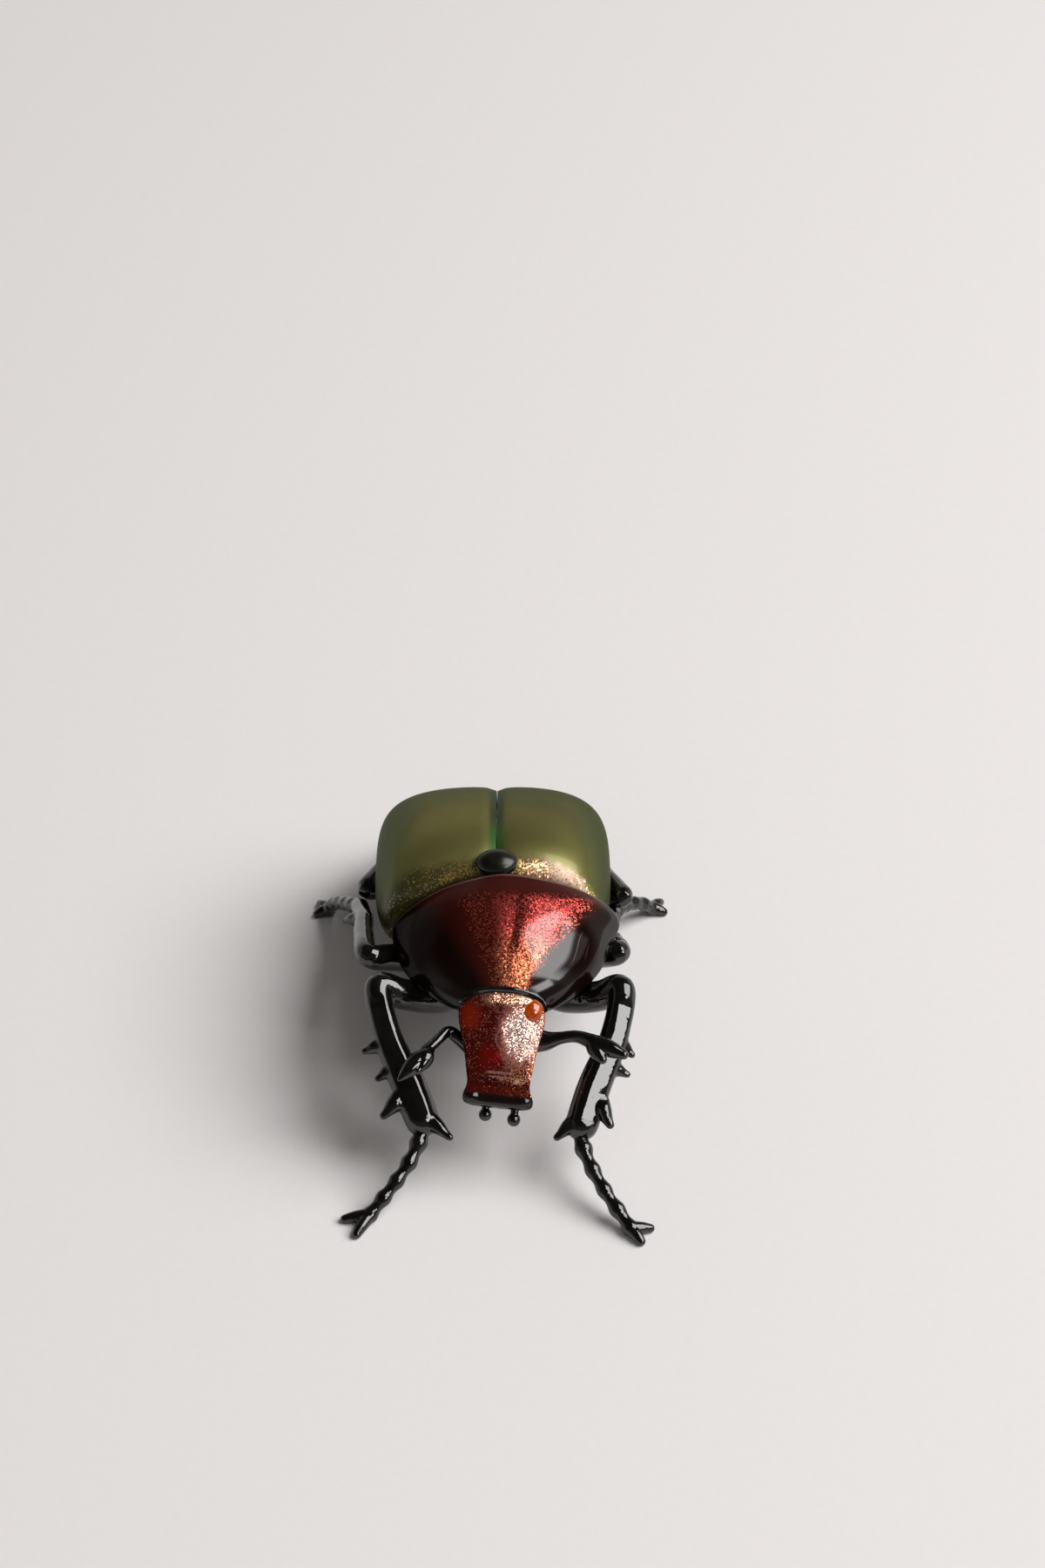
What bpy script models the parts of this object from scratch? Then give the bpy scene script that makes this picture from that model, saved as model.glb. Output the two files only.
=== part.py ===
"""A flower beetle in flameworked glass, standing on its six feet.

Sizes and places are in millimetres and become metres when a mesh is made. X runs to the right as
seen from the front, Y runs from the front feet to the rear, and Z is up from the surface that the
figure stands on. Left and right in the names are the beetle's own, so its left side is at +X.
"""

import math

import bmesh
import bpy
from mathutils import Matrix, Vector

# Driving dimensions
MM = 0.001
GAP = 0.3
CENTRE = Vector((-0.997, 34.274, 0.0))

PRONOTUM_MID = 0.75
PRONOTUM_WIDTH = 13.2
PRONOTUM_FRONT = 19.6
PRONOTUM_REAR = 35.2
PRONOTUM_MARGIN = 16.6
PRONOTUM_RISE = 7.5
PRONOTUM_DROP = 2.4
PRONOTUM_POWER = 2.15

ELYTRA_MID = -0.1
ELYTRA_WIDTH = {"left": 13.8, "right": 14.8}
ELYTRA_FRONT = 35.7
ELYTRA_WIDEST = 46.3
ELYTRA_REAR = 61.8
ELYTRA_CROWN = 40.0
ELYTRA_TOP = 24.6
ELYTRA_RIM_FRONT = 13.0
ELYTRA_RIM_REAR = 8.5
ELYTRA_POWER = 2.85
ELYTRA_PLAN = 3.3
ELYTRA_ARCH = 1.86
SHOULDER_ROLL = 1.9
SHELL = 1.9
SEAM_GROOVE = 0.7
SEAM_SPREAD = 0.9

BELLY_LOW = 4.6
CHEST_LOW = 8.4

HEAD_SLOPE = 46.0
HEAD_YAW = 3.0
HEAD_ROLL = 4.0
HEAD_ORIGIN = Vector((0.75, 18.9, 19.2))
HEAD_SKEW = 0.06
HEAD_STATIONS = (
    # distance down the face, half width, rise above the flat of the face, drop below it
    (-0.65, 1.2, 0.3, 2.6),
    (-0.1, 3.25, 0.7, 4.3),
    (0.5, 4.2, 0.85, 4.7),
    (1.8, 5.0, 0.9, 4.9),
    (4.6, 4.65, 0.8, 4.4),
    (6.8, 4.2, 0.65, 3.7),
    (8.7, 3.85, 0.45, 3.0),
    (10.0, 3.68, 0.3, 2.5),
    (10.9, 3.75, 0.55, 2.2),
    (11.8, 3.95, 0.6, 2.0),
    (12.35, 3.6, 0.2, 1.6),
)
NECK_STATIONS = (
    (-1.3, 1.0, 0.5, 3.0),
    (-0.7, 3.3, 0.85, 4.6),
    (0.0, 4.5, 0.95, 4.9),
    (0.8, 5.2, 0.95, 4.9),
    (1.3, 5.35, 0.75, 4.6),
)

ROD_SIDES = 9
THIN_SIDES = 7
SPINE_SIDES = 5
FOOT_BEADS = 5
FOOT_STEPS = 14
BEAD_SWELL = 0.14
FOOT_RADII = (0.95, 0.85, 0.8, 0.85)
FLOOR_REACH = 60.0
FLOOR_DEPTH = 5.0

LEFT, RIGHT = "left", "right"
SIDES = {LEFT: 1, RIGHT: -1}

# Each leg's centreline from the body outwards: places, then the rod's radius at each of them
FEMORA = {
    "front_left": (
        ((4.4, 28.6, 11.2), 1.6),
        ((8.4, 25.8, 12.4), 1.8),
        ((12.0, 23.5, 15.0), 1.8),
        ((14.5, 22.6, 16.9), 1.6),
    ),
    "front_right": (
        ((-3.0, 28.6, 11.2), 1.6),
        ((-7.0, 25.8, 12.4), 1.8),
        ((-11.0, 23.8, 15.0), 1.8),
        ((-13.8, 22.9, 16.9), 1.6),
    ),
    "middle_left": (
        ((4.0, 38.5, 8.8), 1.5),
        ((8.5, 34.8, 10.6), 1.6),
        ((12.0, 31.6, 13.8), 1.6),
        ((14.3, 30.2, 15.6), 1.4),
    ),
    "middle_right": (
        ((-4.2, 38.5, 8.8), 1.5),
        ((-8.9, 34.6, 10.6), 1.6),
        ((-12.8, 31.2, 13.8), 1.6),
        ((-15.2, 29.8, 15.6), 1.4),
    ),
    "hind_left": (
        ((4.0, 50.6, 6.8), 1.5),
        ((9.0, 50.6, 6.8), 1.45),
        ((12.8, 49.0, 7.5), 1.3),
        ((15.3, 46.8, 9.0), 1.25),
    ),
    "hind_right": (
        ((-4.4, 50.0, 6.8), 1.5),
        ((-9.3, 50.4, 6.6), 1.6),
        ((-13.4, 50.5, 7.3), 1.45),
        ((-16.0, 49.2, 8.2), 1.3),
    ),
}
TIBIAE = {
    "front_left": (
        ((14.6, 21.9, 16.6), 1.55),
        ((13.7, 18.4, 13.6), 1.65),
        ((11.35, 14.0, 9.8), 1.95),
        ((9.85, 10.6, 6.9), 1.95),
    ),
    "front_right": (
        ((-14.0, 22.2, 16.6), 1.55),
        ((-12.7, 18.6, 13.6), 1.65),
        ((-10.3, 14.4, 9.8), 2.05),
        ((-8.6, 11.2, 7.0), 2.0),
    ),
    "middle_left": (
        ((14.7, 31.4, 15.0), 1.35),
        ((14.0, 36.2, 11.4), 1.2),
        ((12.9, 41.2, 8.7), 1.15),
        ((14.0, 46.9, 6.0), 1.2),
    ),
    "middle_right": (
        ((-15.6, 31.0, 15.1), 1.35),
        ((-16.0, 36.0, 13.0), 1.25),
        ((-16.2, 41.0, 10.7), 1.2),
        ((-16.9, 45.9, 8.0), 1.2),
    ),
    "hind_left": (
        ((15.1, 48.1, 8.8), 1.25),
        ((13.2, 52.3, 7.3), 1.2),
        ((11.9, 56.5, 6.0), 1.3),
        ((11.1, 60.0, 4.7), 1.3),
    ),
    "hind_right": (
        ((-15.8, 50.6, 8.1), 1.3),
        ((-13.9, 54.4, 7.0), 1.3),
        ((-12.6, 57.6, 5.7), 1.35),
        ((-11.9, 60.4, 4.7), 1.3),
    ),
}
TARSI = {
    "front_left": (
        (9.75, 9.1, 5.9),
        (10.8, 6.5, 4.5),
        (12.6, 3.6, 2.9),
        (15.4, 0.0, 0.8),
    ),
    "front_right": (
        (-8.7, 9.7, 6.0),
        (-10.0, 7.0, 4.5),
        (-11.9, 4.6, 3.0),
        (-14.6, 2.0, 0.8),
    ),
    "middle_left": (
        (14.3, 48.0, 5.4),
        (15.6, 50.3, 4.2),
        (17.5, 52.3, 2.8),
        (19.2, 53.5, 0.8),
    ),
    "middle_right": (
        (-17.3, 46.9, 7.3),
        (-18.9, 49.7, 5.2),
        (-20.2, 52.0, 3.1),
        (-21.2, 53.2, 0.8),
    ),
    "hind_left": (
        (10.8, 61.3, 4.2),
        (10.1, 63.6, 3.1),
        (9.7, 66.0, 2.0),
        (10.2, 68.2, 0.8),
    ),
    "hind_right": (
        (-11.6, 61.7, 4.2),
        (-10.8, 64.0, 3.1),
        (-10.4, 66.3, 2.0),
        (-10.9, 68.4, 0.8),
    ),
}
CLAWS = {
    "front_left": ((18.1, 0.4, 0.36), (16.8, -2.0, 0.36)),
    "front_right": ((-18.0, 1.7, 0.36), (-16.3, -1.1, 0.36)),
    "middle_left": ((20.9, 53.1, 0.36), (20.4, 55.2, 0.36)),
    "middle_right": ((-22.9, 52.7, 0.36), (-22.5, 54.9, 0.36)),
    "hind_left": ((11.6, 70.3, 0.36), (9.2, 70.4, 0.36)),
    "hind_right": ((-12.3, 70.4, 0.36), (-10.0, 70.6, 0.36)),
}
# Spines fused along each shin: root inside the shin, tip and root radius
SPINES = {
    "front_left": (
        ((13.6, 18.4, 12.9), (15.8, 16.7, 12.0), 0.95),
        ((12.4, 16.0, 11.2), (15.3, 15.1, 10.4), 0.9),
        ((11.2, 13.2, 9.2), (13.2, 9.4, 7.8), 1.15),
        ((10.0, 11.4, 7.4), (6.8, 8.6, 6.6), 1.0),
    ),
    "front_right": (
        ((-12.4, 17.9, 12.9), (-15.5, 17.1, 12.2), 0.95),
        ((-11.2, 16.0, 11.2), (-13.9, 14.3, 10.5), 0.9),
        ((-10.0, 13.8, 9.3), (-13.2, 10.5, 8.2), 1.15),
        ((-8.7, 11.7, 7.4), (-5.2, 8.4, 6.8), 1.0),
    ),
    "middle_left": (((13.9, 45.8, 6.5), (12.1, 47.2, 5.2), 0.8),),
    "middle_right": (((-16.3, 41.4, 10.5), (-18.7, 42.4, 9.1), 0.8),),
    "hind_left": (((11.3, 58.4, 5.2), (13.4, 59.8, 4.6), 0.8),),
    "hind_right": (((-12.2, 58.9, 5.2), (-14.3, 60.4, 4.6), 0.8),),
}

ANTENNAE = {
    LEFT: (
        ((4.2, 17.3, 14.0), 1.3),
        ((5.9, 16.9, 14.3), 0.9),
        ((7.3, 16.7, 14.8), 0.65),
        ((9.2, 16.5, 15.3), 0.62),
        ((11.0, 15.4, 15.6), 0.8),
    ),
    RIGHT: (
        ((-3.0, 16.3, 13.6), 0.9),
        ((-4.5, 16.9, 14.8), 0.75),
        ((-5.6, 17.2, 15.4), 0.65),
        ((-6.8, 15.7, 15.4), 0.62),
        ((-8.0, 14.1, 15.4), 0.7),
    ),
}
# Lobes at the end of each feeler: root, tip, radius at the middle and at the tip
LOBES = {
    LEFT: (
        ((10.7, 15.6, 15.6), (14.6, 13.5, 15.4), 0.95, 0.6),
        ((10.9, 15.3, 15.5), (12.1, 13.1, 15.1), 0.75, 0.6),
    ),
    RIGHT: (
        ((-7.7, 14.4, 15.4), (-10.9, 10.7, 14.4), 0.8, 0.3),
        ((-7.8, 14.2, 15.3), (-8.7, 11.6, 14.8), 0.95, 0.6),
    ),
}
PALPS = {
    LEFT: (
        ((2.3, 11.5, 9.6), 0.5),
        ((2.1, 10.7, 8.9), 0.45),
        ((2.0, 10.1, 8.2), 0.45),
    ),
    RIGHT: (
        ((-1.2, 12.2, 9.6), 0.5),
        ((-1.25, 11.4, 8.9), 0.45),
        ((-1.3, 10.8, 8.3), 0.45),
    ),
}
PALP_BALL = 0.72

EYES = {LEFT: (4.0, 1.7, 0.15), RIGHT: (-4.25, 2.1, -0.1)}
EYE_RADII = (1.15, 1.35, 1.2)
SCUTELLUM = Vector((-0.1, 37.0, 24.2))
SCUTELLUM_RADII = (2.2, 1.9, 1.3)


def clear_scene():
    for thing in list(bpy.data.objects):
        bpy.data.objects.remove(thing)


def glass(name, colour, roughness, metallic=0.0):
    finish = bpy.data.materials.new(name)
    finish.use_nodes = True
    shader = finish.node_tree.nodes["Principled BSDF"]
    shader.inputs["Base Color"].default_value = (*colour, 1.0)
    shader.inputs["Roughness"].default_value = roughness
    shader.inputs["Metallic"].default_value = metallic
    shader.inputs["Coat Weight"].default_value = 1.0
    finish.diffuse_color = (*colour, 1.0)
    return finish


def add_solid(name, points, faces, finish, holder):
    """One mesh object from points in millimetres, with its faces turned outwards."""
    mesh = bpy.data.meshes.new(name)
    build = bmesh.new()
    made = [build.verts.new(Vector(point) * MM) for point in points]
    for face in faces:
        build.faces.new([made[index] for index in face])
    bmesh.ops.recalc_face_normals(build, faces=build.faces)
    bmesh.ops.triangulate(build, faces=[face for face in build.faces if len(face.verts) > 4])
    build.to_mesh(mesh)
    build.free()
    mesh.shade_smooth()
    mesh.set_sharp_from_angle(angle=math.radians(40))
    mesh.materials.append(finish)
    thing = bpy.data.objects.new(name, mesh)
    thing.parent = holder
    bpy.context.scene.collection.objects.link(thing)
    return thing


def helper(thing):
    """A shape that only cuts or joins another one."""
    thing.hide_render = True
    thing.display_type = "WIRE"
    return thing


def combine(target, tool, operation):
    step = target.modifiers.new(f"{operation.lower()} {tool.name}", "BOOLEAN")
    step.operation = operation
    step.solver = "EXACT"
    step.object = helper(tool)


def loft(rings, start=None, end=None):
    """Points and faces of a closed skin over rings of equal size, ending in a point or a flat face."""
    count = len(rings[0])
    points = [point for ring in rings for point in ring]
    faces = []
    for row in range(len(rings) - 1):
        for k in range(count):
            a, b = row * count + k, row * count + (k + 1) % count
            faces.append((a, b, b + count, a + count))
    for tip, first in ((start, 0), (end, (len(rings) - 1) * count)):
        if tip is None:
            faces.append(tuple(range(first, first + count)))
            continue
        points.append(tip)
        apex = len(points) - 1
        faces += [(first + k, first + (k + 1) % count, apex) for k in range(count)]
    return points, faces


def power_of(value, power):
    return math.copysign(abs(value) ** (2 / power), value)


def section(x, y, z, half, rise, drop, power, sides):
    """A ring in the plane of constant Y, rounder or squarer with its power, from the top clockwise."""
    ring = []
    for k in range(sides):
        turn = 2 * math.pi * k / sides
        height = power_of(math.cos(turn), power)
        across = half * power_of(math.sin(turn), power)
        ring.append((x + across, y, z + height * (rise if height > 0 else drop)))
    return ring


def smooth_path(stops, steps):
    """Centres and radii along a smooth curve through the stops, each a (place, radius) pair."""
    values = [Vector((*place, radius)) for place, radius in stops]
    values = [2 * values[0] - values[1], *values, 2 * values[-1] - values[-2]]
    path = []
    spans = len(stops) - 1
    for k in range(steps + 1):
        along = min(k * spans / steps, spans - 1e-6)
        span = int(along)
        t = along - span
        a, b, c, d = values[span : span + 4]
        square = (2 * a - 5 * b + 4 * c - d) * t**2
        cube = (3 * b - a - 3 * c + d) * t**3
        path.append(0.5 * (2 * b + (c - a) * t + square + cube))
    return [(value.xyz, value.w) for value in path]


def rod_rings(path, sides, flat=1.0):
    """Rings square to the path. Flat presses each ring along its second axis."""
    rings = []
    side = None
    for k, (centre, radius) in enumerate(path):
        ahead = path[min(k + 1, len(path) - 1)][0] - path[max(k - 1, 0)][0]
        ahead.normalize()
        if side is None:
            side = ahead.cross(Vector((0, 0, 1)))
        side = (side - ahead * side.dot(ahead)).normalized()
        up = side.cross(ahead)
        ring = []
        for j in range(sides):
            turn = 2 * math.pi * j / sides
            ring.append(centre + radius * (side * math.cos(turn) + up * flat * math.sin(turn)))
        rings.append(ring)
    return rings


def round_end(path, at_start):
    """Adds one smaller ring and a point, so that the rod's end is a melted dome."""
    (near, radius), (next_one, _) = (path[0], path[1]) if at_start else (path[-1], path[-2])
    out = (near - next_one).normalized()
    ring = (near + out * radius * 0.62, radius * 0.72)
    tip = near + out * radius * 0.95
    return ([ring, *path] if at_start else [*path, ring]), tip


def rod(name, path, sides, finish, holder, start_round=False, end_round=True, flat=1.0):
    start = end = None
    if start_round:
        path, start = round_end(path, True)
    if end_round:
        path, end = round_end(path, False)
    return add_solid(name, *loft(rod_rings(path, sides, flat), start, end), finish, holder)


def spike(name, root, tip, radius, finish, holder):
    root, tip = Vector(root), Vector(tip)
    path = [(root, radius), (root.lerp(tip, 0.6), radius * 0.66), (root.lerp(tip, 0.92), radius * 0.32)]
    return rod(name, path, SPINE_SIDES, finish, holder)


def claw(name, root, tip, finish, holder):
    root, tip = Vector(root), Vector(tip)
    path = [(root, 0.8), (root.lerp(tip, 0.5), 0.6), (root.lerp(tip, 0.85), 0.46)]
    return rod(name, path, SPINE_SIDES, finish, holder)


def ball(name, centre, radii, finish, holder, around=10, rows=6, turn=None):
    """An ellipsoid, turned by a rotation matrix where it sits on a sloping face."""
    turn = turn or Matrix.Identity(3)
    rings = []
    for row in range(1, rows):
        lift = math.pi * row / rows
        ring = []
        for k in range(around):
            spin = 2 * math.pi * k / around
            across = math.sin(lift)
            local = (across * math.cos(spin), across * math.sin(spin), math.cos(lift))
            ring.append(centre + turn @ Vector(a * b for a, b in zip(local, radii)))
        rings.append(ring)
    poles = [centre + turn @ Vector((0, 0, sign * radii[2])) for sign in (1, -1)]
    return add_solid(name, *loft(rings, *poles), finish, holder)


def pronotum(name, finish, holder, grow=0.0):
    """The domed shield: a quarter of an ellipsoid, with a rolled rear edge and a shallow underside."""
    stations = 8
    reach = PRONOTUM_REAR - 1.2 - PRONOTUM_FRONT
    rings = []
    for k in range(stations):
        y = PRONOTUM_FRONT + reach * math.sin(math.pi / 2 * k / (stations - 1))
        back = (PRONOTUM_REAR - 1.2 - y) / (reach * 1.09)
        swell = math.sqrt(1 - back**2)
        rings.append(pronotum_ring(y, swell, grow))
    rings.append(pronotum_ring(PRONOTUM_REAR - 0.35 + grow, 0.972, 0.8 * grow))
    rings.append(pronotum_ring(PRONOTUM_REAR + grow, 0.9, 0.5 * grow))
    return add_solid(name, *loft(rings), finish, holder)


def pronotum_ring(y, swell, grow):
    return section(
        PRONOTUM_MID,
        y,
        PRONOTUM_MARGIN,
        PRONOTUM_WIDTH * swell + grow,
        PRONOTUM_RISE * swell + grow,
        PRONOTUM_DROP * swell + grow,
        PRONOTUM_POWER,
        24,
    )


def elytra_swell(y):
    """How much of the full width the pair has at Y."""
    if y < ELYTRA_WIDEST:
        return 1 - 0.1 * ((ELYTRA_WIDEST - y) / (ELYTRA_WIDEST - ELYTRA_FRONT)) ** 2
    share = min(1, (y - ELYTRA_WIDEST) / (ELYTRA_REAR - ELYTRA_WIDEST))
    return (1 - share**ELYTRA_PLAN) ** (1 / ELYTRA_PLAN)


def elytra_crest(y):
    """Height of the back along the seam, before its groove."""
    share = min(1, abs(y - ELYTRA_CROWN) / (ELYTRA_REAR - ELYTRA_CROWN))
    arch = (1 - share**ELYTRA_ARCH) ** (1 / ELYTRA_ARCH)
    return ELYTRA_RIM_REAR + (ELYTRA_TOP - ELYTRA_RIM_REAR) * arch


def elytra_rim(y):
    share = (y - ELYTRA_FRONT) / (ELYTRA_REAR - ELYTRA_FRONT)
    return ELYTRA_RIM_FRONT + (ELYTRA_RIM_REAR - ELYTRA_RIM_FRONT) * share


def elytron_stations(front, rear, count):
    """Places along the body that crowd towards the round rear end."""
    return [front + (rear - front) * math.sin(math.pi / 2 * k / count) for k in range(count)]


def elytron(side, finish, holder):
    """One wing case: an outer dome filled to the seam, before the belly is cut out of it."""
    sign, width = SIDES[side], ELYTRA_WIDTH[side]
    arc = 12
    rings = []
    for y in (ELYTRA_FRONT, ELYTRA_FRONT + 0.8, *elytron_stations(ELYTRA_FRONT, ELYTRA_REAR, 12)[1:]):
        rim, half = elytra_rim(y), width * elytra_swell(y)
        roll = math.exp(ELYTRA_FRONT - y)
        half -= 0.25 * SHOULDER_ROLL * roll
        rise = elytra_crest(y) - SHOULDER_ROLL * roll - rim
        ring = []
        for k in range(arc + 1):
            turn = math.pi / 2 * k / arc
            x = half * power_of(math.sin(turn), ELYTRA_POWER)
            groove = SEAM_GROOVE * math.exp(-x / SEAM_SPREAD) * min(1, rise / 6)
            x = max(x, GAP / 2)
            height = rise * power_of(math.cos(turn), ELYTRA_POWER)
            ring.append((ELYTRA_MID + sign * x, y, rim + height - groove))
        ring.append((ELYTRA_MID + sign * max(half - 0.5, GAP / 2 + 0.2), y, rim - 1.1))
        ring.append((ELYTRA_MID + sign * GAP / 2, y, rim - 1.1))
        rings.append(ring)
    tip = (ELYTRA_MID + sign * GAP / 2 * 1.5, ELYTRA_REAR, ELYTRA_RIM_REAR - 0.5)
    return add_solid(f"{side}_elytron", *loft(rings, None, tip), finish, holder)


def belly(name, finish, holder, grow=0.0, front=None):
    """The black body under the wing cases, whose top follows their inside."""
    front = ELYTRA_FRONT + 0.1 - grow if front is None else front
    rear = ELYTRA_REAR - SHELL - GAP + grow
    stretch = (ELYTRA_REAR - ELYTRA_FRONT) / (rear - ELYTRA_FRONT)
    rings = []
    for y in elytron_stations(front, rear, 9):
        outer = ELYTRA_FRONT + max(0.0, y - ELYTRA_FRONT) * stretch
        swell = elytra_swell(outer)
        half = (ELYTRA_WIDTH[LEFT] - SHELL - GAP) * swell + grow
        rim = elytra_rim(y)
        rise = max(elytra_crest(outer) - SHELL - GAP - rim, 0.4) + grow
        drop = (rim - BELLY_LOW) * (0.25 + 0.75 * swell) + grow
        rings.append(section(ELYTRA_MID, y, rim, half, rise, drop, 2.6, 18))
    tip = (ELYTRA_MID, rear, elytra_rim(rear) - 0.3)
    return add_solid(name, *loft(rings, None, tip), finish, holder)


def chest(name, finish, holder, grow=0.0):
    """The black body under the shield, which the front legs grow from."""
    front, rear = 23.0 - grow, ELYTRA_FRONT - 0.2 + grow
    rings = []
    for k in range(7):
        share = k / 6
        y = front + (rear - front) * share
        half = 4.2 + 5.6 * math.sin(math.pi / 2 * share) + grow
        low = CHEST_LOW + 2.6 * (1 - math.sin(math.pi / 2 * share))
        middle = 12.4
        rise = PRONOTUM_MARGIN - PRONOTUM_DROP - middle - GAP + grow
        rings.append(section(PRONOTUM_MID - 0.6 * share, y, middle, half, rise, middle - low + grow, 2.3, 16))
    return add_solid(name, *loft(rings), finish, holder)


def head_turn():
    """Columns are the head's right, its way down the face, and out of the face."""
    slope = math.radians(HEAD_SLOPE)
    down = Vector((0, -math.cos(slope), -math.sin(slope)))
    out = Vector((0, -math.sin(slope), math.cos(slope)))
    turn = Matrix((Vector((1, 0, 0)), down, out)).transposed()
    yaw = Matrix.Rotation(math.radians(-HEAD_YAW), 3, out)
    roll = Matrix.Rotation(math.radians(-HEAD_ROLL), 3, down)
    return yaw @ roll @ turn


def on_head(right, down, out):
    return HEAD_ORIGIN + head_turn() @ Vector((right, down, out))


def face_solid(name, stations, sides, power, finish, holder, grow):
    """A skin over rings that stand square to the face."""
    rings = []
    for down, half, rise, drop in stations:
        ring = []
        for k in range(sides):
            turn = 2 * math.pi * k / sides
            height = power_of(math.cos(turn), power)
            out = height * ((rise if height > 0 else drop) + grow)
            right = (half + grow) * power_of(math.sin(turn), power)
            skewed = down + HEAD_SKEW * right * max(0.0, down) / stations[-1][0]
            ring.append(on_head(right, skewed, out))
        rings.append(ring)
    ends = [on_head(0, stations[0][0] - 0.1 - grow, -1.2), on_head(0, stations[-1][0] + 0.1 + grow, -0.7)]
    return add_solid(name, *loft(rings, *ends), finish, holder)


def head(name, finish, holder, grow=0.0):
    return face_solid(name, HEAD_STATIONS, 16, 2.7, finish, holder, grow)


def neck(name, finish, holder, grow=0.0):
    """The pressed bead behind the head, which shows as a thin lip between head and shield."""
    return face_solid(name, NECK_STATIONS, 14, 2.4, finish, holder, grow)


def add_body(finishes, holder):
    black = finishes["black"]
    shield = pronotum("pronotum", finishes["red"], holder)
    face = head("head", finishes["red"], holder)
    bead = neck("neck", black, holder)
    underside = chest("chest", black, holder)
    core = belly("abdomen", black, holder)
    plate = ball("scutellum", SCUTELLUM, SCUTELLUM_RADII, black, holder, 12, 6)
    plate_room = ball(
        "scutellum_room", SCUTELLUM, [radius + GAP for radius in SCUTELLUM_RADII], black, holder, 12, 6
    )
    neck_room = neck("neck_room", black, holder, GAP)
    head_room = head("head_room", black, holder, GAP)
    belly_room = belly("belly_room", black, holder, GAP, ELYTRA_FRONT - 1.0)
    shield_room = pronotum("shield_room", black, holder, GAP)
    combine(bead, head_room, "DIFFERENCE")
    for piece in (shield, underside):
        combine(piece, neck_room, "DIFFERENCE")
        combine(piece, head_room, "DIFFERENCE")
    combine(plate, shield_room, "DIFFERENCE")
    for side in SIDES:
        case = elytron(side, finishes["green"], holder)
        combine(case, belly_room, "DIFFERENCE")
        combine(case, plate_room, "DIFFERENCE")
    combine(core, plate_room, "DIFFERENCE")
    return face, bead, head_room, shield_room


def add_face(finishes, holder, face, bead, head_room):
    """Eyes set in the corners of the head, feelers at its sides and palps under its lip."""
    for side, sign in SIDES.items():
        place = on_head(*EYES[side])
        turn = head_turn()
        ball(f"{side}_eye", place, EYE_RADII, finishes["amber"], holder, 10, 6, turn)
        radii = [radius + GAP for radius in EYE_RADII]
        room = ball(f"{side}_eye_room", place, radii, finishes["amber"], holder, 10, 6, turn)
        combine(face, room, "DIFFERENCE")
        combine(bead, room, "DIFFERENCE")
        feeler = rod(f"{side}_antenna", smooth_path(ANTENNAE[side], 7), THIN_SIDES, finishes["black"], holder)
        for k, (root, tip, middle, end) in enumerate(LOBES[side]):
            root, tip = Vector(root), Vector(tip)
            path = [(root, end), (root.lerp(tip, 0.4), middle)]
            path += [(root.lerp(tip, 0.75), 0.8 * middle), (tip, 0.8 * end)]
            lobe = rod(f"{side}_lobe_{k}", path, THIN_SIDES, finishes["black"], holder, True)
            combine(feeler, lobe, "UNION")
        combine(feeler, head_room, "DIFFERENCE")
        palp = rod(f"{side}_palp", smooth_path(PALPS[side], 3), 6, finishes["black"], holder)
        end = Vector(PALPS[side][-1][0])
        knob = ball(f"{side}_palp_ball", end, [PALP_BALL] * 3, finishes["black"], holder, 8, 5)
        combine(palp, knob, "UNION")
        combine(palp, head_room, "DIFFERENCE")


def beaded(path, beads, swell):
    """Radii that rise and fall along a foot, like a row of melted beads."""
    last = len(path) - 1
    waves = [1 + swell * math.cos(2 * math.pi * beads * k / last) for k in range(last + 1)]
    return [(centre, radius * wave) for (centre, radius), wave in zip(path, waves)]


def add_leg(name, finishes, holder, rooms, floor):
    black = finishes["black"]
    thigh_path = smooth_path(FEMORA[name], 7)
    thigh = rod(f"{name}_femur", thigh_path, ROD_SIDES, black, holder)
    for room in rooms:
        combine(thigh, room, "DIFFERENCE")
    shin_path = smooth_path(TIBIAE[name], 8)
    shin = rod(f"{name}_tibia", shin_path, ROD_SIDES, black, holder, True)
    for k, (root, tip, radius) in enumerate(SPINES[name]):
        combine(shin, spike(f"{name}_spine_{k}", root, tip, radius, black, holder), "UNION")
    knee_path = [(centre, radius + GAP) for centre, radius in thigh_path[3:]]
    combine(shin, rod(f"{name}_knee_room", knee_path, ROD_SIDES, black, holder), "DIFFERENCE")
    foot_path = smooth_path(list(zip(TARSI[name], FOOT_RADII)), FOOT_STEPS)
    foot = rod(f"{name}_tarsus", beaded(foot_path, FOOT_BEADS, BEAD_SWELL), THIN_SIDES, black, holder)
    for k, tip in enumerate(CLAWS[name]):
        combine(foot, claw(f"{name}_claw_{k}", TARSI[name][-1], tip, black, holder), "UNION")
    shin_end = [(centre, radius + GAP) for centre, radius in shin_path[5:]]
    combine(foot, rod(f"{name}_ankle_room", shin_end, ROD_SIDES, black, holder), "DIFFERENCE")
    combine(foot, floor, "DIFFERENCE")


def floor_cutter(finishes, holder):
    """Everything below the surface that the feet stand on."""
    square = ((-1, -1), (1, -1), (1, 1), (-1, 1))
    corners = []
    for z in (-FLOOR_DEPTH, 0.0):
        corners += [(x * FLOOR_REACH, y * FLOOR_REACH + CENTRE.y, z) for x, y in square]
    return add_solid("floor_room", *loft([corners[:4], corners[4:]]), finishes["black"], holder)


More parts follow.
